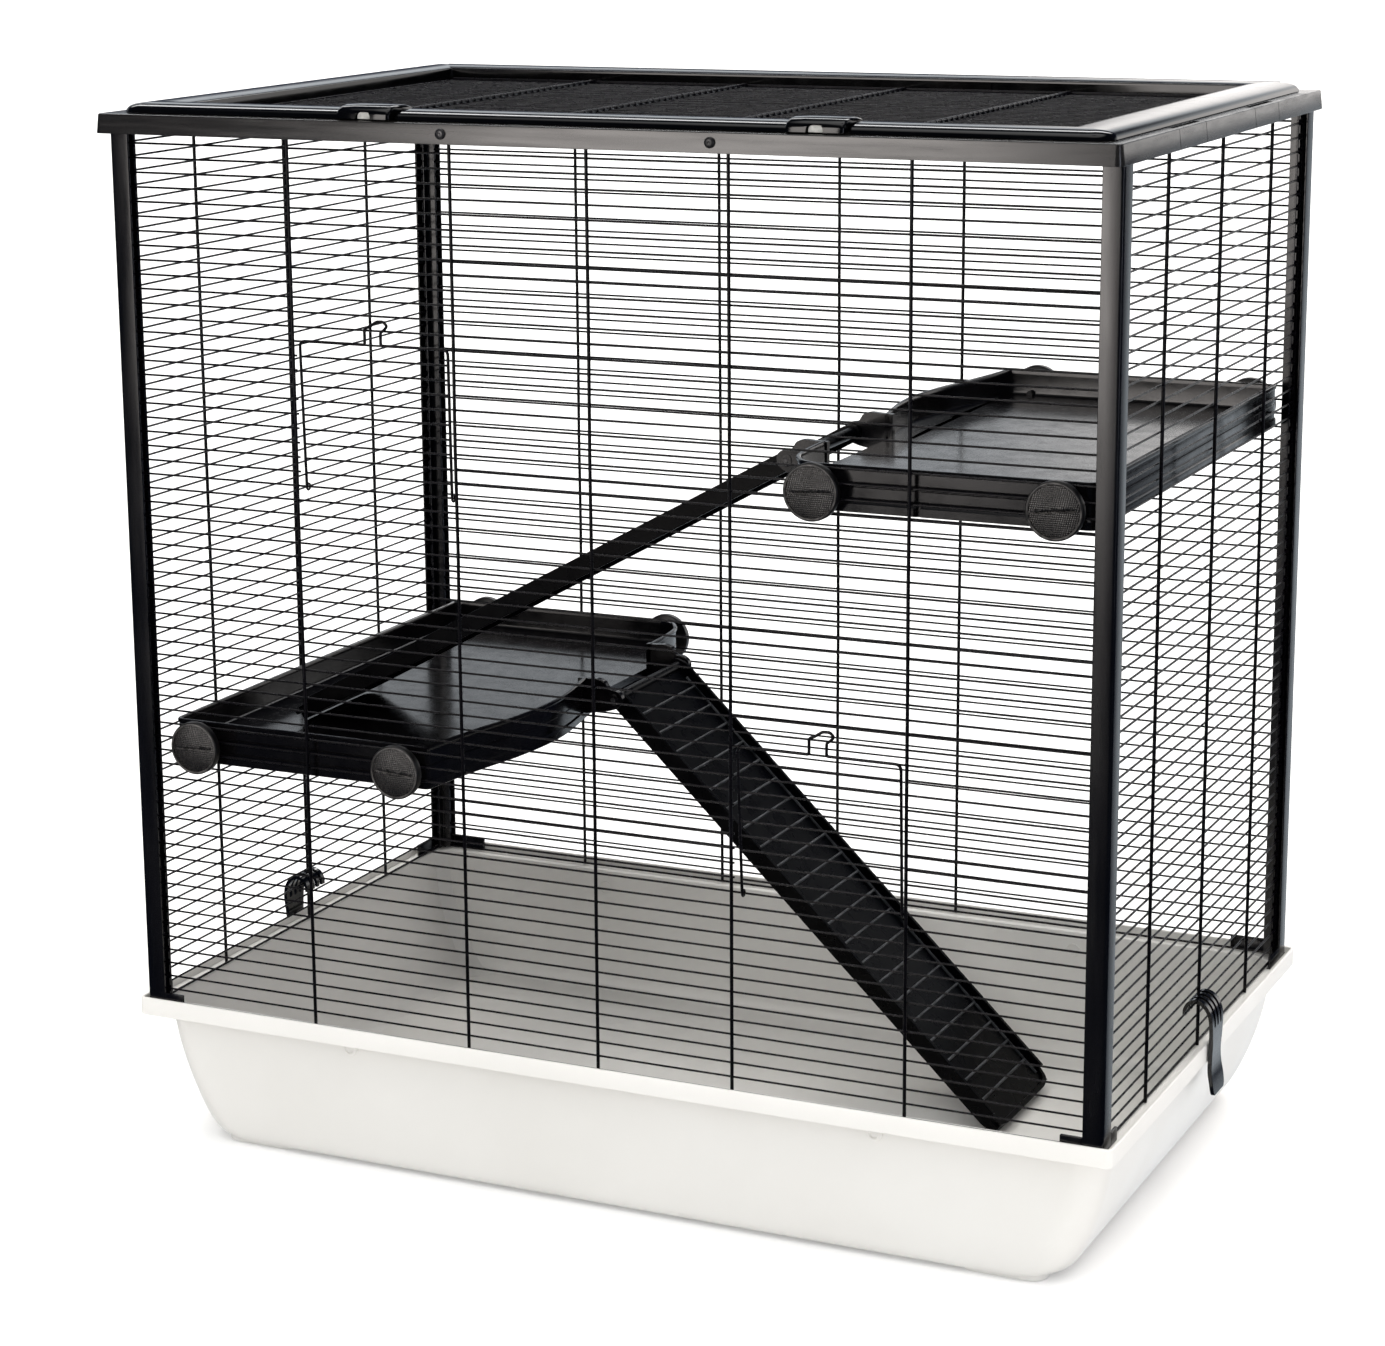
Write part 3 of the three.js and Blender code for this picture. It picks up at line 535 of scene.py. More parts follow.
inside = [
    faceted(ring(hx - TRAY_WALL, hy - TRAY_WALL, r - TRAY_WALL, z + (3.6 if i == 0 else 2), 10))
    for i, (z, hx, hy, r) in enumerate(walls)
][::-1]
low = TRAY_WALLS[0]
inside.append(ring(low[1] - 4.5, low[2] - 4.5, low[3] - 4.5, TRAY_FLOOR, 10))
tray.skin(outside + [ring(*r, 10) for r in rim] + inside)
for sx in (-1, 1):
    for sy in (-1, 1):
        cx, cy = sx * FOOT_CENTRE[0], sy * FOOT_CENTRE[1]
        hx, hy = FOOT_HALF
        pad = [(hx - 1.5, hy - 1.5, 10.5, 0), (hx - 0.4, hy - 0.4, 11.6, 0.5), (hx, hy, 12, 1.6),
               (hx, hy, 12, 5.5)]
        tray.skin([[(x + cx, y + cy, z) for x, y, z in ring(*r, 6)] for r in pad])
        # moulded bosses outside, with their marks on the inner face of the wall
        y = sy * BOSS_Y
        out = [(6, 0), (6, 3.0), (5.6, 3.8), (4.8, 4.1), (3.6, 3.9), (3.2, 3.0), (0, 2.9)]
        tray.lathe([(r, sy * h) for r, h in out], (sx * BOSS_X, y, BOSS_Z), "y", 28)
        circle = [
            (sx * BOSS_X + MARK_R * math.cos(t), sy * MARK_Y, BOSS_Z + MARK_R * math.sin(t))
            for t in around(28)
        ]
        tray.tube(circle, 0.7, 8, closed=True)
piece("tray_shell", tray, tray_plastic, "tray", "tray", ["tray"], angle=19)

# ------------------------------------------------------------------ corner posts
SECTION = [
    (0, 0, 2.6), (POST_FRONT, 0, 0.5), (POST_FRONT, 2, 0.5), (8.6, 2, 0.3), (8.6, 9, 0.3),
    (POST_FRONT, 9, 0.4), (POST_FRONT, 10.8, 0.4), (8.6, 10.8, 0.3), (8.6, POST_SIDE, 0.5),
    (6.8, POST_SIDE, 0.5), (6.8, 2, 0.3), (1.5, 2, 0.3), (1.5, POST_SIDE, 0.5),
    (0, POST_SIDE, 0.5),
]


def corner_outline(points, sx, sy):
    placed = [(sx * (POST_HALF[0] - a), sy * (POST_HALF[1] - b)) for a, b in points]
    return placed if sx * sy > 0 else placed[::-1]


section = rounded([(a, b) for a, b, _ in SECTION], [r for _, _, r in SECTION], 5)
for corner, (sx, sy) in CORNERS.items():
    post = Form().prism(corner_outline(section, sx, sy), "z", POST_BOTTOM, POST_TOP)
    # teeth between the wires, along the mouth of each channel
    for i in range(ROWS - 1):
        z0, z1 = row_z(i) + TOOTH_GAP, row_z(i + 1) - TOOTH_GAP
        for tooth in ([(11.4, 8.0), (POST_FRONT - 0.3, 8.0), (POST_FRONT - 0.3, 9.4), (11.4, 9.4)],
                      [(6.0, 14.2), (7.2, 14.2), (7.2, POST_SIDE - 0.3), (6.0, POST_SIDE - 0.3)]):
            post.prism(corner_outline(tooth, sx, sy), "z", z0, z1)
    piece(f"post_{corner}_profile", post, post_plastic, "cage", "post", [f"post_{corner}"])
    keep(f"post_foot_{corner}", post_plastic, 0.35)

# ------------------------------------------------------------------ wire panels
wander = random.Random(7)


def straight(axis, a, b, p, q, spans=7, stray=0.22):
    """A drawn wire that is not perfectly straight."""
    points = []
    for i in range(spans + 1):
        t = i / spans
        off = stray * math.sin(math.pi * t)
        u, v = (wander.uniform(-off, off) for _ in range(2))
        c = a + (b - a) * t
        points.append({"x": (c, p, q + v), "y": (p, c, q + v), "z": (p + u, q, c)}[axis])
    return points


def doorway_at(i):
    for door in DOORS.values():
        if door["hinge"] < i < door["hinge"] + DOOR_ROWS:
            return door
    return None


def front_panel(side, with_doors):
    form = Form()
    y = side * FRONT_ROW_Y
    for s in (-1, 1):
        form.tube([(s * FRONT_END_X, y, EDGE_LOW), (s * FRONT_END_X, y, BAR_TOP)], EDGE_R, 8)
    for i in range(ROWS):
        edge = i in (0, ROWS - 1)
        z, wire_y = row_z(i), y + side * (EDGE_OUT if edge else 0)
        radius = EDGE_R if edge else WIRE_R
        door = doorway_at(i) if with_doors else None
        if door:
            left, right = door["bars"]
            for a, b in ((-FRONT_END_X, left + DOORWAY_REACH),
                         (right - DOORWAY_REACH, FRONT_END_X)):
                form.tube(straight("x", a, b, wire_y, z, 4, 0.15), radius, 8)
        else:
            form.tube(straight("x", -FRONT_END_X, FRONT_END_X, wire_y, z), radius, 8)
    for x in FRONT_BARS:
        form.tube(straight("z", BAR_LOW, BAR_TOP, x, side * FRONT_BAR_Y, 9, 0.35), BAR_R, 10)
    return form


def side_panel(side):
    form = Form()
    x = side * SIDE_ROW_X
    for s in (-1, 1):
        form.tube([(x, s * SIDE_END_Y, EDGE_LOW), (x, s * SIDE_END_Y, BAR_TOP)], EDGE_R, 8)
    for i in range(ROWS):
        edge = i in (0, ROWS - 1)
        wire_x = x + side * (EDGE_OUT if edge else 0)
        form.tube(straight("y", -SIDE_END_Y, SIDE_END_Y, wire_x, row_z(i), 5),
                  EDGE_R if edge else WIRE_R, 8)
    for y in SIDE_BARS:
        form.tube(straight("z", BAR_LOW, BAR_TOP, side * SIDE_BAR_X, y, 9, 0.0), BAR_R, 10)
    return form


for name, form in (("front", front_panel(-1, True)), ("back", front_panel(1, False)),
                   ("left", side_panel(-1)), ("right", side_panel(1))):
    piece(f"wires_{name}", form, wire_coat, "cage", "wire", [f"wire_panel_{name}"], angle=60)

# ------------------------------------------------------------------ doors
LOOP = [(-6.5, 0), (-6.5, 11.5), (-2.5, 13), (3.5, 17), (9, 17.2), (12, 14.2), (9.5, 11.2),
        (6.5, 9.4), (6.5, 0)]
for name, door in DOORS.items():
    form = Form()
    y, z0 = -DOOR_WIRE_Y, row_z(door["hinge"])
    z1 = row_z(door["hinge"] + DOOR_ROWS) + 0.6
    (lt, rt), (lf, rf) = door["top"], door["foot"]
    path = [(lf, y, z0 + 0.4), (lt, y, z1)]
    path += [(door["loop"] + x, y, z1 + z) for x, z in LOOP]
    path += [(rt, y, z1), (rf, y, z0 + 0.4)]
    form.tube(rounded(path, [0, 4.5] + [1.6] * len(LOOP) + [4.5, 0], 5, closed=False),
              DOOR_WIRE_R, 10)
    for x in (lf, rf):
        curl = [
            (x, -FRONT_ROW_Y - DOOR_EYE_R * math.cos(t), z0 + DOOR_EYE_R * math.sin(t))
            for t in around(20)
        ]
        form.tube(curl, EYE_WIRE_R, 8, closed=True)
    for i in range(1, DOOR_ROWS):
        z = row_z(door["hinge"] + i)
        t = (z - z0) / (z1 - z0)
        a, b = lf + (lt - lf) * t - 0.6, rf + (rt - rf) * t + 0.6
        form.tube(straight("x", a, b, -DOOR_ROW_Y, z, 3, 0.12), WIRE_R, 8)
    piece(f"door_{name}_wires", form, wire_coat, f"door_{name}", "wire", [f"door_{name}"],
          angle=60)

# ------------------------------------------------------------------ roof frame
def frame_ring(half, profile, corner, steps=8):
    """A ring with the profile (distance in from the outer edge, height)."""
    rings = [ring(half[0] - o, half[1] - o, max(corner - o, 0.8), z, steps) for o, z in profile]
    return Form().skin(rings, closed=True)


top = ROOF_TOP
roof_profile = rounded(
    [(-1.5, ROOF_LIP), (0, top - 0.4), (0.9, top), (ROOF_FLANGE, top), (ROOF_FLANGE, ROOF_UNDER),
     (ROOF_FLANGE - 2, ROOF_UNDER), (ROOF_FLANGE - 2, top - ROOF_SKIN), (1.2, top - ROOF_SKIN),
     (-0.3, ROOF_LIP)],
    [0.5, 1.0, 1.0, 0.8, 0.5, 0.5, 0.4, 0.4, 0.4], 3)
roof = new_object("roof_shell", frame_ring(ROOF_HALF, roof_profile, 4))
cuts = Form()
for sx in (-1, 1):
    for y in (-SLOT_Y, SLOT_Y):
        x0, x1 = sorted((sx * SLOT_X[0], sx * SLOT_X[1]))
        cuts.block(x0, x1, y - SLOT_HALF, y + SLOT_HALF, top - 4, top + 1)
        # seams of the press-in tabs down the outer face
        for edge in (-SLOT_HALF, SLOT_HALF):
            x0, x1 = sorted((sx * (SLOT_X[1] + 1.5), sx * (ROOF_HALF[0] + 3)))
            cuts.block(x0, x1, y + edge - SEAM_HALF, y + edge + SEAM_HALF, ROOF_LIP - 1, top)
    for sy in (-1, 1):
        cuts.lathe([(2.3, sy * 240), (2.3, sy * 252)], (sx * SCREW_X, 0, SCREW_Z), "y", 20)
carve(roof, cuts)
# the seams are shallow: a backing strip closes them behind the outer face
backing = Form()
for sx in (-1, 1):
    for y in (-SLOT_Y, SLOT_Y):
        for edge in (-SLOT_HALF, SLOT_HALF):
            x0, x1 = sorted((sx * (ROOF_HALF[0] - 1.1), sx * (ROOF_HALF[0] - 0.3)))
            backing.block(x0, x1, y + edge - 2, y + edge + 2, ROOF_LIP + 0.4, top - 2.7)
finish(roof, roof_plastic, "cage", "roof", ["roof_frame"], angle=30)
piece("roof_seam_backing", backing, roof_plastic, "cage", "roof", bevel=0.15)

for side, sy in (("front", -1), ("back", 1)):
    for hand, sx in (("left", -1), ("right", 1)):
        profile = [(0, 0), (1.9, 0), (1.9, 8.2), (3.8, 8.2), (3.75, 8.8), (3.2, 9.4), (2.1, 9.75),
                   (1.3, 9.8), (1.1, 9.2), (0, 9.0)]
        screw = Form().lathe([(r, sy * h) for r, h in profile],
                             (sx * SCREW_X, sy * 240.6, SCREW_Z), "y", 28)
        piece(f"screw_{side}_{hand}", screw, steel, "cage", "steel",
              [f"roof_screw_{side}_{hand}"], angle=40)

# ------------------------------------------------------------------ lid
dome = spline([(0, LID_BOTTOM), (1.0, 795.6), (3.2, 797.6), (8, 799.1), (14, 799.8), (20, 800),
               (28, 799.7), (34, 799.0), (37.0, 798.4)], 4)
lid_profile = dome + [(37.7, 797.9), (37.9, 797.0), (37.9, 787.2), (38.1, 787), (41.6, 787),
                      (41.9, 786.7), (41.9, 785.3), (41.6, 785), (36.2, 785), (35.9, 785.3),
                      (35.9, LID_BOTTOM)]
lid = new_object("lid_shell", frame_ring(LID_HALF, lid_profile, 16, 12))
py, pz = LID_PIVOT
carve(lid, Form().block(-380, 380, py, 240, 780, 805))
carve(lid, Form().lathe([(LID_BARREL, -356), (LID_BARREL, 356)], (0, py, pz), "x", 28), "UNION")
for x in LATCHES.values():
    pocket = rounded([(x - 22, -240.2), (x + 22, -240.2), (x + 22, -203.6), (x - 22, -203.6)],
                     2.0, 4)
    carve(lid, Form().prism(pocket, "z", LID_BOTTOM - 1, LID_TOP + 2))
    carve(lid, Form().lathe([(PIN_HOLE_R, x - 25), (PIN_HOLE_R, x + 25)], (0, *LATCH_PIVOT),
                            "x", 20))
for x in (-LID_HINGE_X, LID_HINGE_X):
    tools = Form().block(x - 30, x + 30, LID_INNER[1] - 1, LID_INNER[1] + 1.4, 789, 796.4)
    tools.block(x - 11.9, x - 8.3, 226.8, 240, LID_BOTTOM - 1, LID_TOP + 2)
    tools.block(x + 8.3, x + 11.9, 226.8, 240, LID_BOTTOM - 1, LID_TOP + 2)
    carve(lid, tools)
    carve(lid, Form().lathe([(PIN_HOLE_R, x - 9), (PIN_HOLE_R, x + 9)], (0, py, pz), "x", 20))
finish(lid, lid_plastic, "lid", "lid", ["lid_frame"], angle=28)

wires = Form()
end_x, end_y = LID_INNER[0] - 2, LID_INNER[1] - 2
for s in (-1, 1):
    wires.tube([(s * end_x, -end_y, LID_ROW_Z), (s * end_x, end_y, LID_ROW_Z)], EDGE_R, 8)
    edge_z = LID_ROW_Z + 1.1
    wires.tube([(-end_x, s * end_y, edge_z), (end_x, s * end_y, edge_z)], BAR_R, 10)
for i in range(LID_ROWS):
    y = (i - (LID_ROWS - 1) / 2) * PITCH
    wires.tube(straight("x", -end_x, end_x, y, LID_ROW_Z, 7, 0.2), WIRE_R, 8)
for x in LID_BARS:
    wires.tube([(x, -end_y, LID_ROW_Z + 2.0), (x, end_y, LID_ROW_Z + 2.0)], BAR_R, 10)
for x in LID_BARS:
    for i in range(LID_ROWS):
        # the weld between the bar and the wire beneath it
        y = (i - (LID_ROWS - 1) / 2) * PITCH
        wires.lathe([(0, -1.9), (1.4, -1.5), (2.0, -0.6), (2.0, 0.6), (1.4, 1.5), (0, 1.9)],
                    (x, y, LID_ROW_Z + 1.5), "y", 8)
piece("lid_wires_round", wires, wire_coat, "lid", "wire", ["lid_wires"], angle=60)

LATCH_SIDE = [(-243.6, 793.7), (-206.8, 794.6), (-206, 798), (-208.5, 801.6), (-216, 803.4),
              (-230, 804), (-238.5, 802.8), (-243, 799.6)]
for hand, x in LATCHES.items():
    outline = rounded(LATCH_SIDE, [0.6, 0.6, 1.5, 3, 4, 6, 4, 3], 5)
    middle_y, middle_z = LATCH_MIDDLE
    rings = []
    # the lever is crowned across its width, with rounded shoulders
    for t, shrink in ((-1, 0.80), (-0.975, 0.90), (-0.93, 0.965), (-0.86, 1.0), (-0.4, 1.0),
                      (0.4, 1.0), (0.86, 1.0), (0.93, 0.965), (0.975, 0.90), (1, 0.80)):
        lift = LATCH_CROWN * (1 - min(1.0, abs(t)) ** 2) - LATCH_CROWN
        rings.append([
            (x + LATCH_HALF * t, middle_y + (a - middle_y) * (0.5 + shrink / 2),
             max(793.7, middle_z + (b - middle_z) * shrink + (lift if b > middle_z else 0)))
            for a, b in outline
        ])
    latch = new_object(f"latch_{hand}_lever", Form().skin(rings))
    notch = rounded([(x - 6.2, 790), (x + 6.2, 790), (x + 6.2, 796.6), (x + 4.4, 799.2),
                     (x - 4.4, 799.2), (x - 6.2, 796.6)], [0, 0, 1.5, 1.8, 1.8, 1.5], 4)
    carve(latch, Form().prism(notch, "y", -250, -236.5))
    carve(latch, Form().lathe([(PIN_R, x - 24), (PIN_R, x + 24)], (0, *LATCH_PIVOT), "x", 20),
          "UNION")
    finish(latch, lid_plastic, f"latch_{hand}", "lid", [f"lid_latch_{hand}"], angle=35)
    # a pale tab in the finger notch: painted light seen through the notch
    pad = rounded([(x - 5.6, 793.9), (x + 5.6, 793.9), (x + 5.6, 796.4), (x + 4.0, 798.7),
                   (x - 4.0, 798.7), (x - 5.6, 796.4)], [0.3, 0.3, 1.4, 1.6, 1.6, 1.4], 4)
    piece(f"latch_{hand}_pad", Form().prism(pad, "y", -240.2, -236.0), notch_light_pad,
          f"latch_{hand}", "lid", bevel=0.3)
for hand in ("left", "right"):
    keep(f"lid_hinge_{hand}", roof_plastic, 0.35)

# ------------------------------------------------------------------ shelves
CURVED = [(106, -222), (110, -190), (116.5, -152), (124.5, -112), (128.5, -66), (126, -30),
          (119, 8), (116, 24)]
STRAIGHT = [(116, 143), (115, 170), (111, 198), (101, 215), (88, 222)]


def shelf_outline():
    """The shelf's edge seen from above, counter-clockwise."""
    curve = spline(CURVED, 4)
    start = rounded([(-80, -222), (106, -222), curve[1]], 3, 4, closed=False)[1:-1]
    tail = spline(STRAIGHT, 4)[:-1]
    end = rounded([tail[-1], (88, 222), (60, 222)], 4, 4, closed=False)[1:-1]
    corner_a = rounded([(-60, 222), (-110, 222), (-110, 180)], 7, 5, closed=False)[1:-1]
    corner_b = rounded([(-110, -180), (-110, -222), (-60, -222)], 7, 5, closed=False)[1:-1]
    return corner_b + start + curve[1:] + tail + end + corner_a


SHELF_LAYERS = [  # distance in from the outline, height above the underside
    (SHELF_SKIN, 10), (SHELF_SKIN, 0.7), (2.4, 0), (-0.5, 0), (-1.1, 0.5), (-1.1, 5.8),
    (-0.5, 6.6), (0, 7.2), (0, 17.0), (0.7, 17.5), (0.7, 18.4), (0, 18.9), (0, 28.6),
    (-0.7, 29.2), (-0.9, 30.0), (-0.9, 31.2), (-0.4, 31.9), (0.4, 32), (1.5, 32), (2.2, 31.6),
    (2.6, 30.6), (2.9, 28), (SHELF_SKIN, 15), (3.4, 13.6), (4.6, 13),
]
LUG_SIDE = [(112, 2), (138, 6.6), (147, 9.5), (151.2, 14.5), (150.4, 20.6), (145.5, 24.2),
            (139.4, 24.6), (137.6, 26.6), (135.4, 30.6), (129, 32.6), (122.5, 31.8), (112, 31.6)]
for name, (shelf_x, shelf_z, turned) in SHELVES.items():
    place = Matrix.Translation(Vector((shelf_x, 0, shelf_z)) * MM)
    if turned:
        place = place @ Matrix.Rotation(math.pi, 4, "Z")
    outline = shelf_outline()
    shelf = new_object(
        f"shelf_{name}_deck",
        Form().skin([[(*p, w) for p in inset(outline, d)] for d, w in SHELF_LAYERS]))
    v0, v1 = RAMP_V - RAMP_HALF - RAMP_GAP, RAMP_V + RAMP_HALF + RAMP_GAP
    cuts = Form().block(107, 126, v0, v1, SHELF_FLOOR, 34)
    for side in (-1, 1):
        a, b = sorted((side * 221.4, side * 226))
        cuts.block(11.8, 14.9, a, b, -1, 29.2)
    carve(shelf, cuts)
    finish(shelf, shelf_plastic, "cage", "shelf", [f"shelf_{name}"], angle=24, place=place)

    trim = Form()
    for a, b in ((v0 - LUG_WIDTH, v0), (v1, v1 + LUG_WIDTH)):
        side = rounded(LUG_SIDE, [0, 3, 5, 5, 4, 3, 1, 1, 3, 4, 3, 0], 4)
        trim.prism(side, "y", a, b)
        trim.lathe([(LUG_BARREL_R, a - 0.5), (LUG_BARREL_R, b + 0.5)], (RAMP_U, 0, RAMP_W),
                   "y", 24)
    piece(f"shelf_{name}_lugs", trim, shelf_plastic, "cage", "shelf", bevel=0.5, place=place)
    bosses = Form()
    for u in (-KNOB_U, KNOB_U):
        for side in (-1, 1):
            a, b = sorted((side * 208, side * 220.5))
            bosses.block(u - 8, u + 8, a, b, 4, 12.4)
            bosses.lathe([(5.2, side * 220.8), (5.2, side * 224.6)], (u, 0, KNOB_W), "y", 24)
    for v in SHELF_RIBS:
        bosses.block(-106.5, 104, v - 0.9, v + 0.9, 5.5, 10.3)
    piece(f"shelf_{name}_ribs", bosses, shelf_plastic, "cage", "shelf", bevel=0.3, place=place)

# ------------------------------------------------------------------ knobs
# degrees that each knob has been left turned
knob_turn = {("upper", "inner"): 3.5, ("upper", "outer"): 6, ("lower", "inner"): -4,
             ("lower", "outer"): 2}
for name, (shelf_x, shelf_z, turned) in SHELVES.items():
    for side, sy in (("front", -1), ("back", 1)):
        for spot, u in (("outer", -KNOB_U), ("inner", KNOB_U)):
            node = f"knob_{name}_{side}_{spot}"
            centre = Vector((shelf_x + (-u if turned else u), sy * KNOB_BACK_Y, shelf_z + KNOB_W))
            place = Matrix.Translation(centre * MM)
            if sy < 0:
                place = place @ Matrix.Rotation(math.pi, 4, "X")
            place = place @ Matrix.Rotation(math.radians(knob_turn[name, spot]), 4, "Y")
            plain = Form()
            plain.lathe([(0, -18), (2.4, -18), (2.4, -0.2), (KNOB_R - 0.8, 0), (KNOB_R, 0.7),
                         (KNOB_R, 5.4), (KNOB_R - 0.4, 6.0), (KNOB_R - 1.0, 6.2),
                         (KNOB_R - 1.6, 6.0), (KNOB_R - 2.0, 5.4), (0, 5.2)], (0, 0, 0), "y", 72)
            piece(f"{node}_body", plain, knob_plain, node, "knob", [node], angle=45, place=place)
            face = Form().lathe([(KNOB_R - 2.2, 5.0), (KNOB_R - 2.3, 5.9), (KNOB_R - 2.6, 6.05),
                                 (0, 6.3)], (0, 0, 0), "y", 72)
            piece(f"{node}_face", face, knob_plastic, node, "knob", angle=45, place=place)
            border = Form().tube(
                [((KNOB_R - 1.5) * math.cos(a), 6.25, (KNOB_R - 1.5) * math.sin(a))
                 for a in around(64)], 0.6, 8, closed=True)
            rough = random.Random(11 + len(node))
            grip_shadow = Form()
            # a torn ridge: a dark flank that is painted shadow, and a pale broken crest above it
            # that is painted highlight
            for form, base, wide, height in ((grip_shadow, -0.75, 1.0, 0.9), (border, 0.55, 0.45, 1.5)):
                rings = []
                for k in range(61):
                    x = -15.6 + 31.2 * k / 60
                    fade = min(1.0, (15.9 - abs(x)) / 1.6)
                    half = (wide + rough.uniform(-0.3, 0.5) * wide) * fade + 0.05
                    tall = (height + rough.uniform(-0.5, 0.4) * height) * fade
                    z = base + rough.uniform(-0.5, 0.5)
                    rings.append([(x, 5.6, z - half), (x, 6.2 + tall * 0.6, z - half * 0.8),
                                  (x, 6.25 + tall, z), (x, 6.2 + tall * 0.6, z + half * 0.8),
                                  (x, 5.6, z + half)])
                form.skin(rings)
            # the dark flank is painted shadow; the pale crest and the border ring are painted
            # highlight
            piece(f"{node}_grip", grip_shadow, knob_plain, node, "knob", angle=25, place=place)
            piece(f"{node}_border", border, knob_highlight_edge, node, "knob", angle=30, place=place)


# ------------------------------------------------------------------ ramps
def rest_angle(height, length):
    h = RAMP_RAIL_H / 2
    return math.asin(height / math.hypot(length, h)) - math.atan2(h, length)


RAMP_FLOORS = {"lower": TRAY_FLOOR, "upper": SHELVES["lower"][1] + SHELF_FLOOR}
for name, (shelf_x, shelf_z, turned) in SHELVES.items():
    way = -1 if turned else 1
    length = RAMP_LENGTHS[name]
    slope = rest_angle(shelf_z + RAMP_W - RAMP_FLOORS[name] - 0.4, length)
    pivot = Vector((shelf_x + way * RAMP_U, way * RAMP_V, shelf_z + RAMP_W))
    place = Matrix.Translation(pivot * MM) @ Matrix.Rotation(math.pi if turned else 0, 4, "Z")
    place = place @ Matrix.Rotation(slope, 4, "Y")
    h, half = RAMP_RAIL_H / 2, RAMP_HALF
    form = Form()
    ear = rounded([(-h, -1), (-h * 0.62, -h * 0.8), (1, -h), (length - 13, -h), (length - 13, h),
                   (1, h), (-h * 0.75, h * 0.55), (-h, 1)], [1.5, 2, 2, 0, 0, 3, 2, 1], 3)
    for t0, t1 in ((-half, -half + RAMP_RAIL), (half - RAMP_RAIL, half)):
        form.prism(ear, "y", t0, t1)
    form.block(2.5, length - 2, -half + 1, half - 1, -1.5, 1.5)
    form.lathe([(3.2, -half + 3), (4.3, -half + 4), (4.3, half - 4), (3.2, half - 3)],
               (0, 0, 0), "y", 24)
    foot = rounded([(length - 14, -half), (length - 4, -half + 3), (length, -half + 14),
                    (length, half - 14), (length - 4, half - 3), (length - 14, half),
                    (length - 14, half - RAMP_RAIL), (length - 7, half - RAMP_RAIL - 3),
                    (length - 4, half - 17), (length - 4, -half + 17),
                    (length - 7, -half + RAMP_RAIL + 3), (length - 14, -half + RAMP_RAIL)],
                   [0, 4, 6, 6, 4, 0, 0, 3, 5, 5, 3, 0], 4)
    form.prism(foot, "z", -h, 3.6)
    piece(f"ramp_{name}_deck", form, ramp_plastic, f"ramp_{name}", "ramp", [f"ramp_{name}"],
          bevel=0.45, place=place)
    # the rungs and the raised edges are pale: painted highlight lines
    rungs = Form()
    s = FIRST_RUNG
    while s < length - 12:
        side = rounded([(s - 1.3, 1.2), (s + 1.3, 1.2), (s + 0.5, 3.5), (s - 0.5, 3.5)], 0.4, 3)
        rungs.prism(side, "y", -half + 10, half - 10)
        s += RUNG_STEP
    # the raised edge that the rungs start from
    for a in (-half + 9, half - 10.2):
        rungs.block(12, length - 12, a, a + 1.2, 1.2, 3.0)
    piece(f"ramp_{name}_rungs", rungs, rung_highlight_plastic, f"ramp_{name}", "ramp", angle=40,
          place=place)
    reach = RAMP_HALF + 7
    rod = Form().lathe([(ROD_R - 0.6, -reach), (ROD_R, -reach + 0.6), (ROD_R, reach - 0.6),
                        (ROD_R - 0.6, reach)], (0, 0, 0), "y", 24)
    piece(f"ramp_pin_{name}_rod", rod, steel, "cage", "steel", [f"ramp_pin_{name}"],
          place=Matrix.Translation(pivot * MM))

# ------------------------------------------------------------------ side clips
CLIP_OUTER = [(397.2, 80), (396.8, 84), (395.9, 91), (394.7, 98), (394.3, 108), (394.7, 118),
              (394.9, 130), (394.2, 139), (391.4, 146.4), (386.4, 151.2), (380.4, 152.4),
              (375.2, 150), (372.2, 145), (371.8, 139.6)]
CLIP_INNER = [(374, 139.4), (374.6, 143.8), (376.8, 147.6), (380.6, 149.4), (385.4, 148.4),
              (389.4, 144), (391.5, 138), (392, 130), (391.6, 118), (391.1, 106), (391.7, 97),
              (393.2, 89), (394.3, 80)]
b = CLIP_HALF
CLIP_FACE = [(-b + 5, 78), (b - 5, 78), (b - 0.6, 82), (b, 88), (b - 0.5, 97), (b - 2.6, 106),
             (b - 3.0, 115), (b - 1.4, 126), (b, 134), (b, 156), (-b, 156), (-b, 134),
             (-b + 1.4, 126), (-b + 3.0, 115), (-b + 2.6, 106), (-b + 0.5, 97), (-b, 88),
             (-b + 0.6, 82)]
for hand, turned in (("left", True), ("right", False)):
    profile = (spline(CLIP_OUTER, 3) + spline(CLIP_INNER, 3))[::-1]
    clip = new_object(f"clip_{hand}_strap", Form().prism(profile, "y", -CLIP_HALF, CLIP_HALF))
    carve(clip, Form().prism(rounded(CLIP_FACE, 4, 5), "x", *CLIP_BOUNDS), "INTERSECT")
    slots = Form()
    z0, z1 = FINGER_GAP_Z
    for y in FINGER_GAPS:
        y0, y1 = y - FINGER_GAP_HALF, y + FINGER_GAP_HALF
        gap = rounded([(y0, z0), (y1, z0), (y1, z1), (y0, z1)], [1.8, 1.8, 0, 0], 4)
        slots.prism(gap, "x", *CLIP_BOUNDS)
    carve(clip, slots)
    place = Matrix.Rotation(math.pi, 4, "Z") if turned else None
    finish(clip, clip_plastic, f"clip_{hand}", "clip", [f"tray_clip_{hand}"], bevel=0.4,
           place=place)

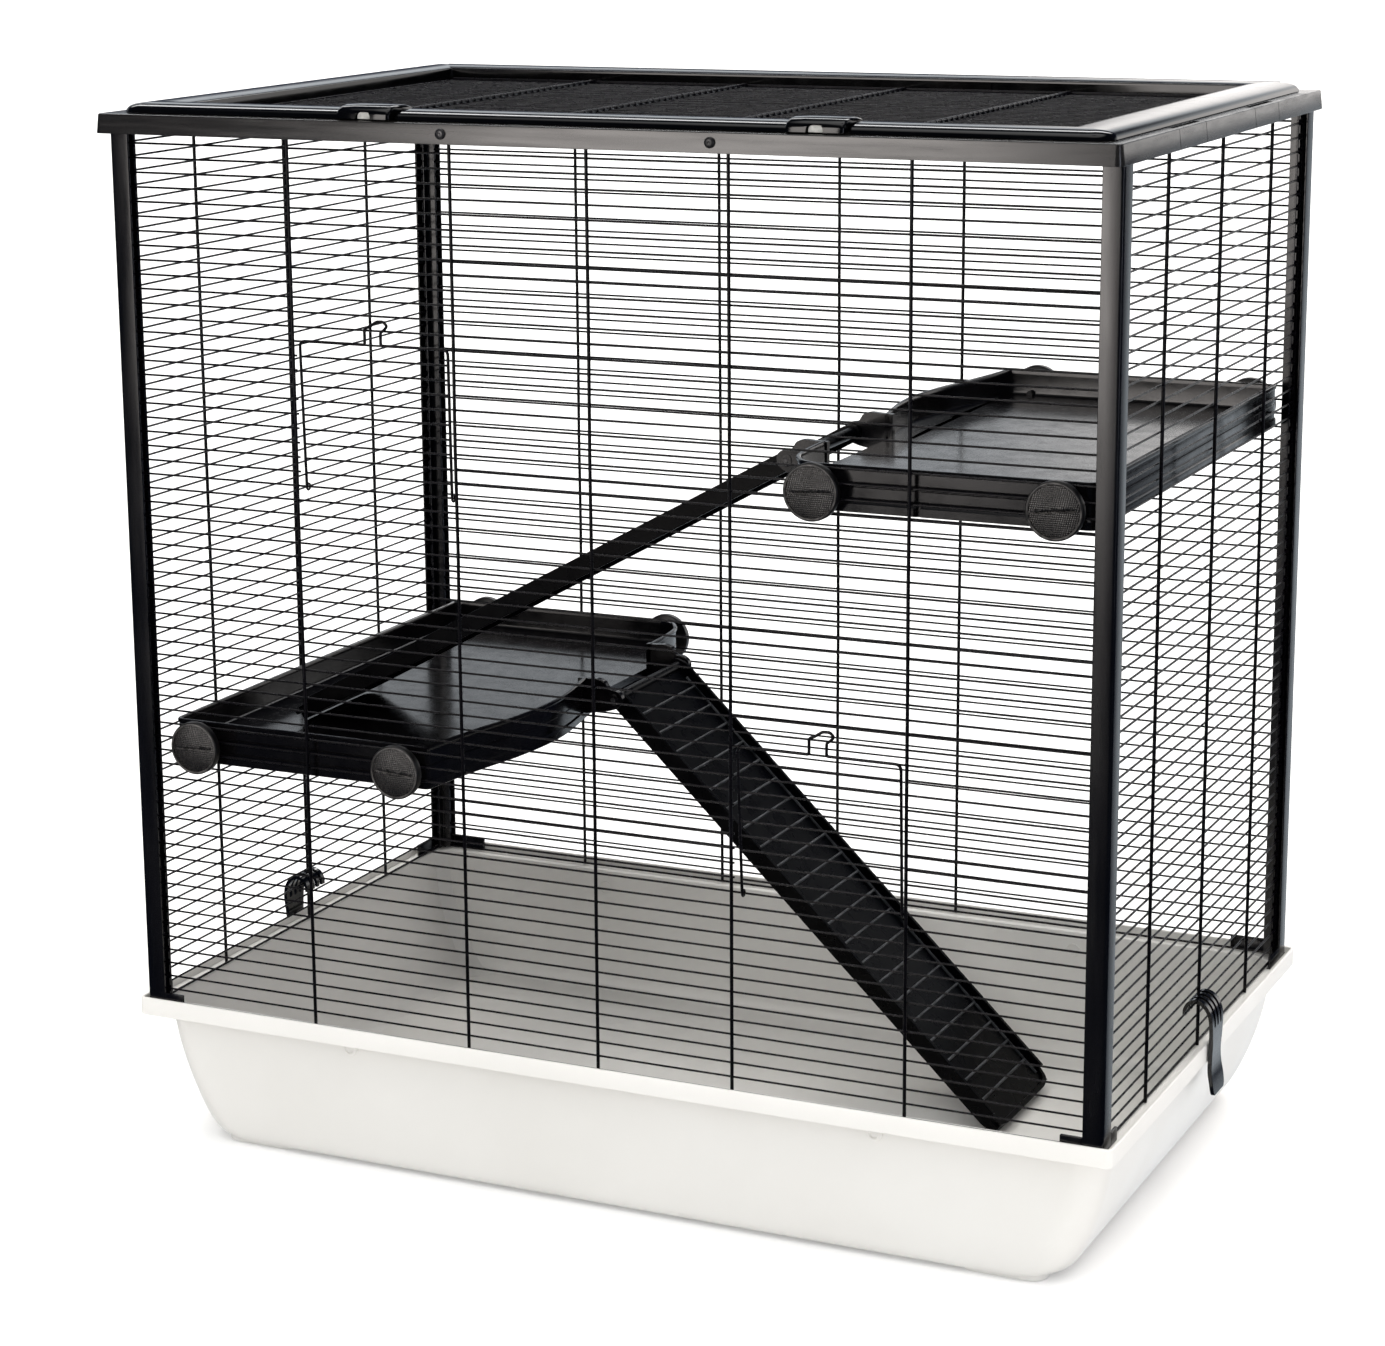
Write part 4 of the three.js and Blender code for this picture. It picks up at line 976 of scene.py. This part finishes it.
# ------------------------------------------------------------------ floor and light
GROUND_HALF, GROUND_DEPTH, GROUND_GLOW = 60000, 40, 0.12
ground = Form().block(-GROUND_HALF, GROUND_HALF, -GROUND_HALF, GROUND_HALF, -GROUND_DEPTH, 0)
floor = new_object("floor", ground)
floor_paint = plastic("floor_paint", (0.91, 0.91, 0.91), (0.94, 0.94, 0.94), (0.7, 0.8),
                      (30, 0.01, 0.1), specular=0.1, patch=0.6)
glow = floor_paint.node_tree.nodes["Principled BSDF"]
glow.inputs["Emission Color"].default_value = (1, 1, 1, 1)
glow.inputs["Emission Strength"].default_value = GROUND_GLOW
floor.data.materials.append(floor_paint)
floor.visible_glossy = False

world = bpy.data.worlds.new("studio")
scene.world = world
world.use_nodes = True
tree = world.node_tree
tree.nodes.clear()
add, link = tree.nodes.new, tree.links.new
path = add("ShaderNodeLightPath")
view = add("ShaderNodeTexCoord")
split = add("ShaderNodeSeparateXYZ")
link(view.outputs["Generated"], split.inputs["Vector"])


def window(socket, low, soft, high):
    """1 where the coordinate lies between low and high, with soft edges."""
    made = add("ShaderNodeValToRGB")
    made.color_ramp.interpolation = "EASE"
    elements = made.color_ramp.elements
    stops = [(low - soft, 0), (low + soft, 1), (high - soft, 1), (high + soft, 0)]
    while len(elements) < 4:
        elements.new(0.5)
    shift = add("ShaderNodeMath")
    shift.operation = "MULTIPLY_ADD"
    shift.inputs[1].default_value, shift.inputs[2].default_value = 0.5, 0.5
    link(socket, shift.inputs[0])
    for element, (position, value) in zip(elements, stops):
        element.position = max(0.0, min(1.0, position * 0.5 + 0.5))
        element.color = (value, value, value, 1)
    link(shift.outputs[0], made.inputs["Fac"])
    return made.outputs["Color"]


def both(*sockets):
    """The product of the factors."""
    total = sockets[0]
    for socket in sockets[1:]:
        made = add("ShaderNodeMath")
        made.operation = "MULTIPLY"
        link(total, made.inputs[0])
        link(socket, made.inputs[1])
        total = made.outputs[0]
    return total


def shade(color, strength):
    """An even glow of the given colour."""
    made = add("ShaderNodeBackground")
    made.inputs["Color"].default_value = (*color, 1)
    made.inputs["Strength"].default_value = strength
    return made.outputs["Background"]


def mix(factor, a, b):
    made = add("ShaderNodeMixShader")
    link(factor, made.inputs["Fac"])
    link(a, made.inputs[1])
    link(b, made.inputs[2])
    return made.outputs["Shader"]


# What gloss sees: a dim room with a pale wall behind, a brighter patch on its right, a pale
# table below it, a strip light high up behind, and a soft ceiling. Everything else sees an
# even white.
behind = window(split.outputs["Y"], 0.35, 0.12, 1.2)
wall = both(behind, window(split.outputs["Z"], 0.13, 0.05, 0.30))
patch = both(behind, window(split.outputs["Z"], -0.03, 0.04, 0.22),
             window(split.outputs["X"], -0.31, 0.045, 0.6))
table = both(behind, window(split.outputs["X"], -0.80, 0.07, 0.32),
             window(split.outputs["Z"], -0.60, 0.08, -0.06))
strip = both(behind, window(split.outputs["X"], -0.80, 0.10, 0.05),
             window(split.outputs["Z"], 0.50, 0.03, 0.60))
ceiling = window(split.outputs["Z"], 0.88, 0.06, 1.2)
room = mix(wall, shade((0.022, 0.030, 0.055), 1.0), shade((0.90, 0.95, 1.0), 1.0))
for factor, light in ((patch, shade((1, 0.97, 0.95), 1.7)), (table, shade((0.85, 0.93, 1), 0.9)),
                      (strip, shade((1, 1, 1), 6.0)), (ceiling, shade((1, 1, 1), 2.0))):
    room = mix(factor, room, light)
ambient = mix(path.outputs["Is Glossy Ray"], shade((0.98, 0.98, 1.0), 0.40), room)
seen = mix(path.outputs["Is Camera Ray"], ambient, shade((1, 1, 1), 1.0))
output = add("ShaderNodeOutputWorld")
link(seen, output.inputs["Surface"])


def hang(name, light, aim, axis):
    """Puts the light into the scene, with its axis along the aim."""
    lamp = bpy.data.objects.new(name, light)
    scene.collection.objects.link(lamp)
    lamp.rotation_euler = aim.to_track_quat(axis, "Y").to_euler()
    return lamp


def softbox(name, at, towards, size, radiance, color):
    """A flat studio light; radiance is its brightness as seen in a mirror."""
    light = bpy.data.lights.new(name, "AREA")
    light.shape, light.size, light.size_y = "RECTANGLE", *size
    light.energy = radiance * math.pi * size[0] * size[1]
    light.color = color
    lamp = hang(name, light, Vector(towards) - Vector(at), "-Z")
    lamp.location = at
    lamp.visible_camera = False
    lamp.visible_diffuse = False


WARM, COOL = (1.0, 0.94, 0.90), (0.82, 0.86, 1.0)
softbox("front_low", (-1.05, -3.05, 0.47), (-1.05, 0, 0.47), (1.35, 0.84), 7.5, WARM)
softbox("front_high", (-1.05, -3.05, 1.45), (-1.05, 0, 1.45), (1.3, 1.1), 8.0, WARM)
softbox("edge_right", (3.2, -1.9, 0.9), (0.3, 0, 0.5), (0.4, 1.8), 6.0, COOL)


def skylight(name, strength, width, towards_light, color):
    """A wide soft sun that gloss doesn't see; the softboxes and the world make the gloss."""
    light = bpy.data.lights.new(name, "SUN")
    light.energy, light.angle, light.color = strength, math.radians(width), color
    hang(name, light, Vector(towards_light), "Z").visible_glossy = False


skylight("front_sky", 0.95, 50, (0.05, -0.80, 0.78), (0.98, 1, 0.985))
skylight("top_sky", 2.2, 60, (0.0, 0.0, 1), (1, 0.98, 0.95))
skylight("back_sky", 1.7, 50, (0.10, 0.80, 0.62), (1, 0.96, 0.91))
skylight("right_sky", 0.5, 60, (1, -0.15, 0.35), (0.92, 0.91, 1.0))

# ------------------------------------------------------------------ camera
RIGHT = Vector((0.90409167, 0.42723637, -0.00934589))
DOWN = Vector((0.08972668, -0.21116581, -0.97332324))
FORWARD = Vector((-0.41781262, 0.87913485, -0.22924775))
CAMERA_AT = Vector((1033.601, -2308.914, 981.885))
camera_data = bpy.data.cameras.new("camera")
camera = bpy.data.objects.new("camera", camera_data)
scene.collection.objects.link(camera)
turn = Matrix((RIGHT, -DOWN, -FORWARD)).transposed().to_4x4()
camera.matrix_world = Matrix.Translation(CAMERA_AT * MM) @ turn
PHOTO_WIDTH, PHOTO_HEIGHT, FOCAL_PIXELS, CENTRE = 1385, 1346, 3394.93, (650.056, 638.537)
camera_data.sensor_fit = "HORIZONTAL"
camera_data.sensor_width = 36
camera_data.lens = FOCAL_PIXELS * camera_data.sensor_width / PHOTO_WIDTH
camera_data.shift_x = (PHOTO_WIDTH / 2 - CENTRE[0]) / PHOTO_WIDTH
camera_data.shift_y = (CENTRE[1] - PHOTO_HEIGHT / 2) / PHOTO_WIDTH
camera_data.clip_end = 100
scene.camera = camera
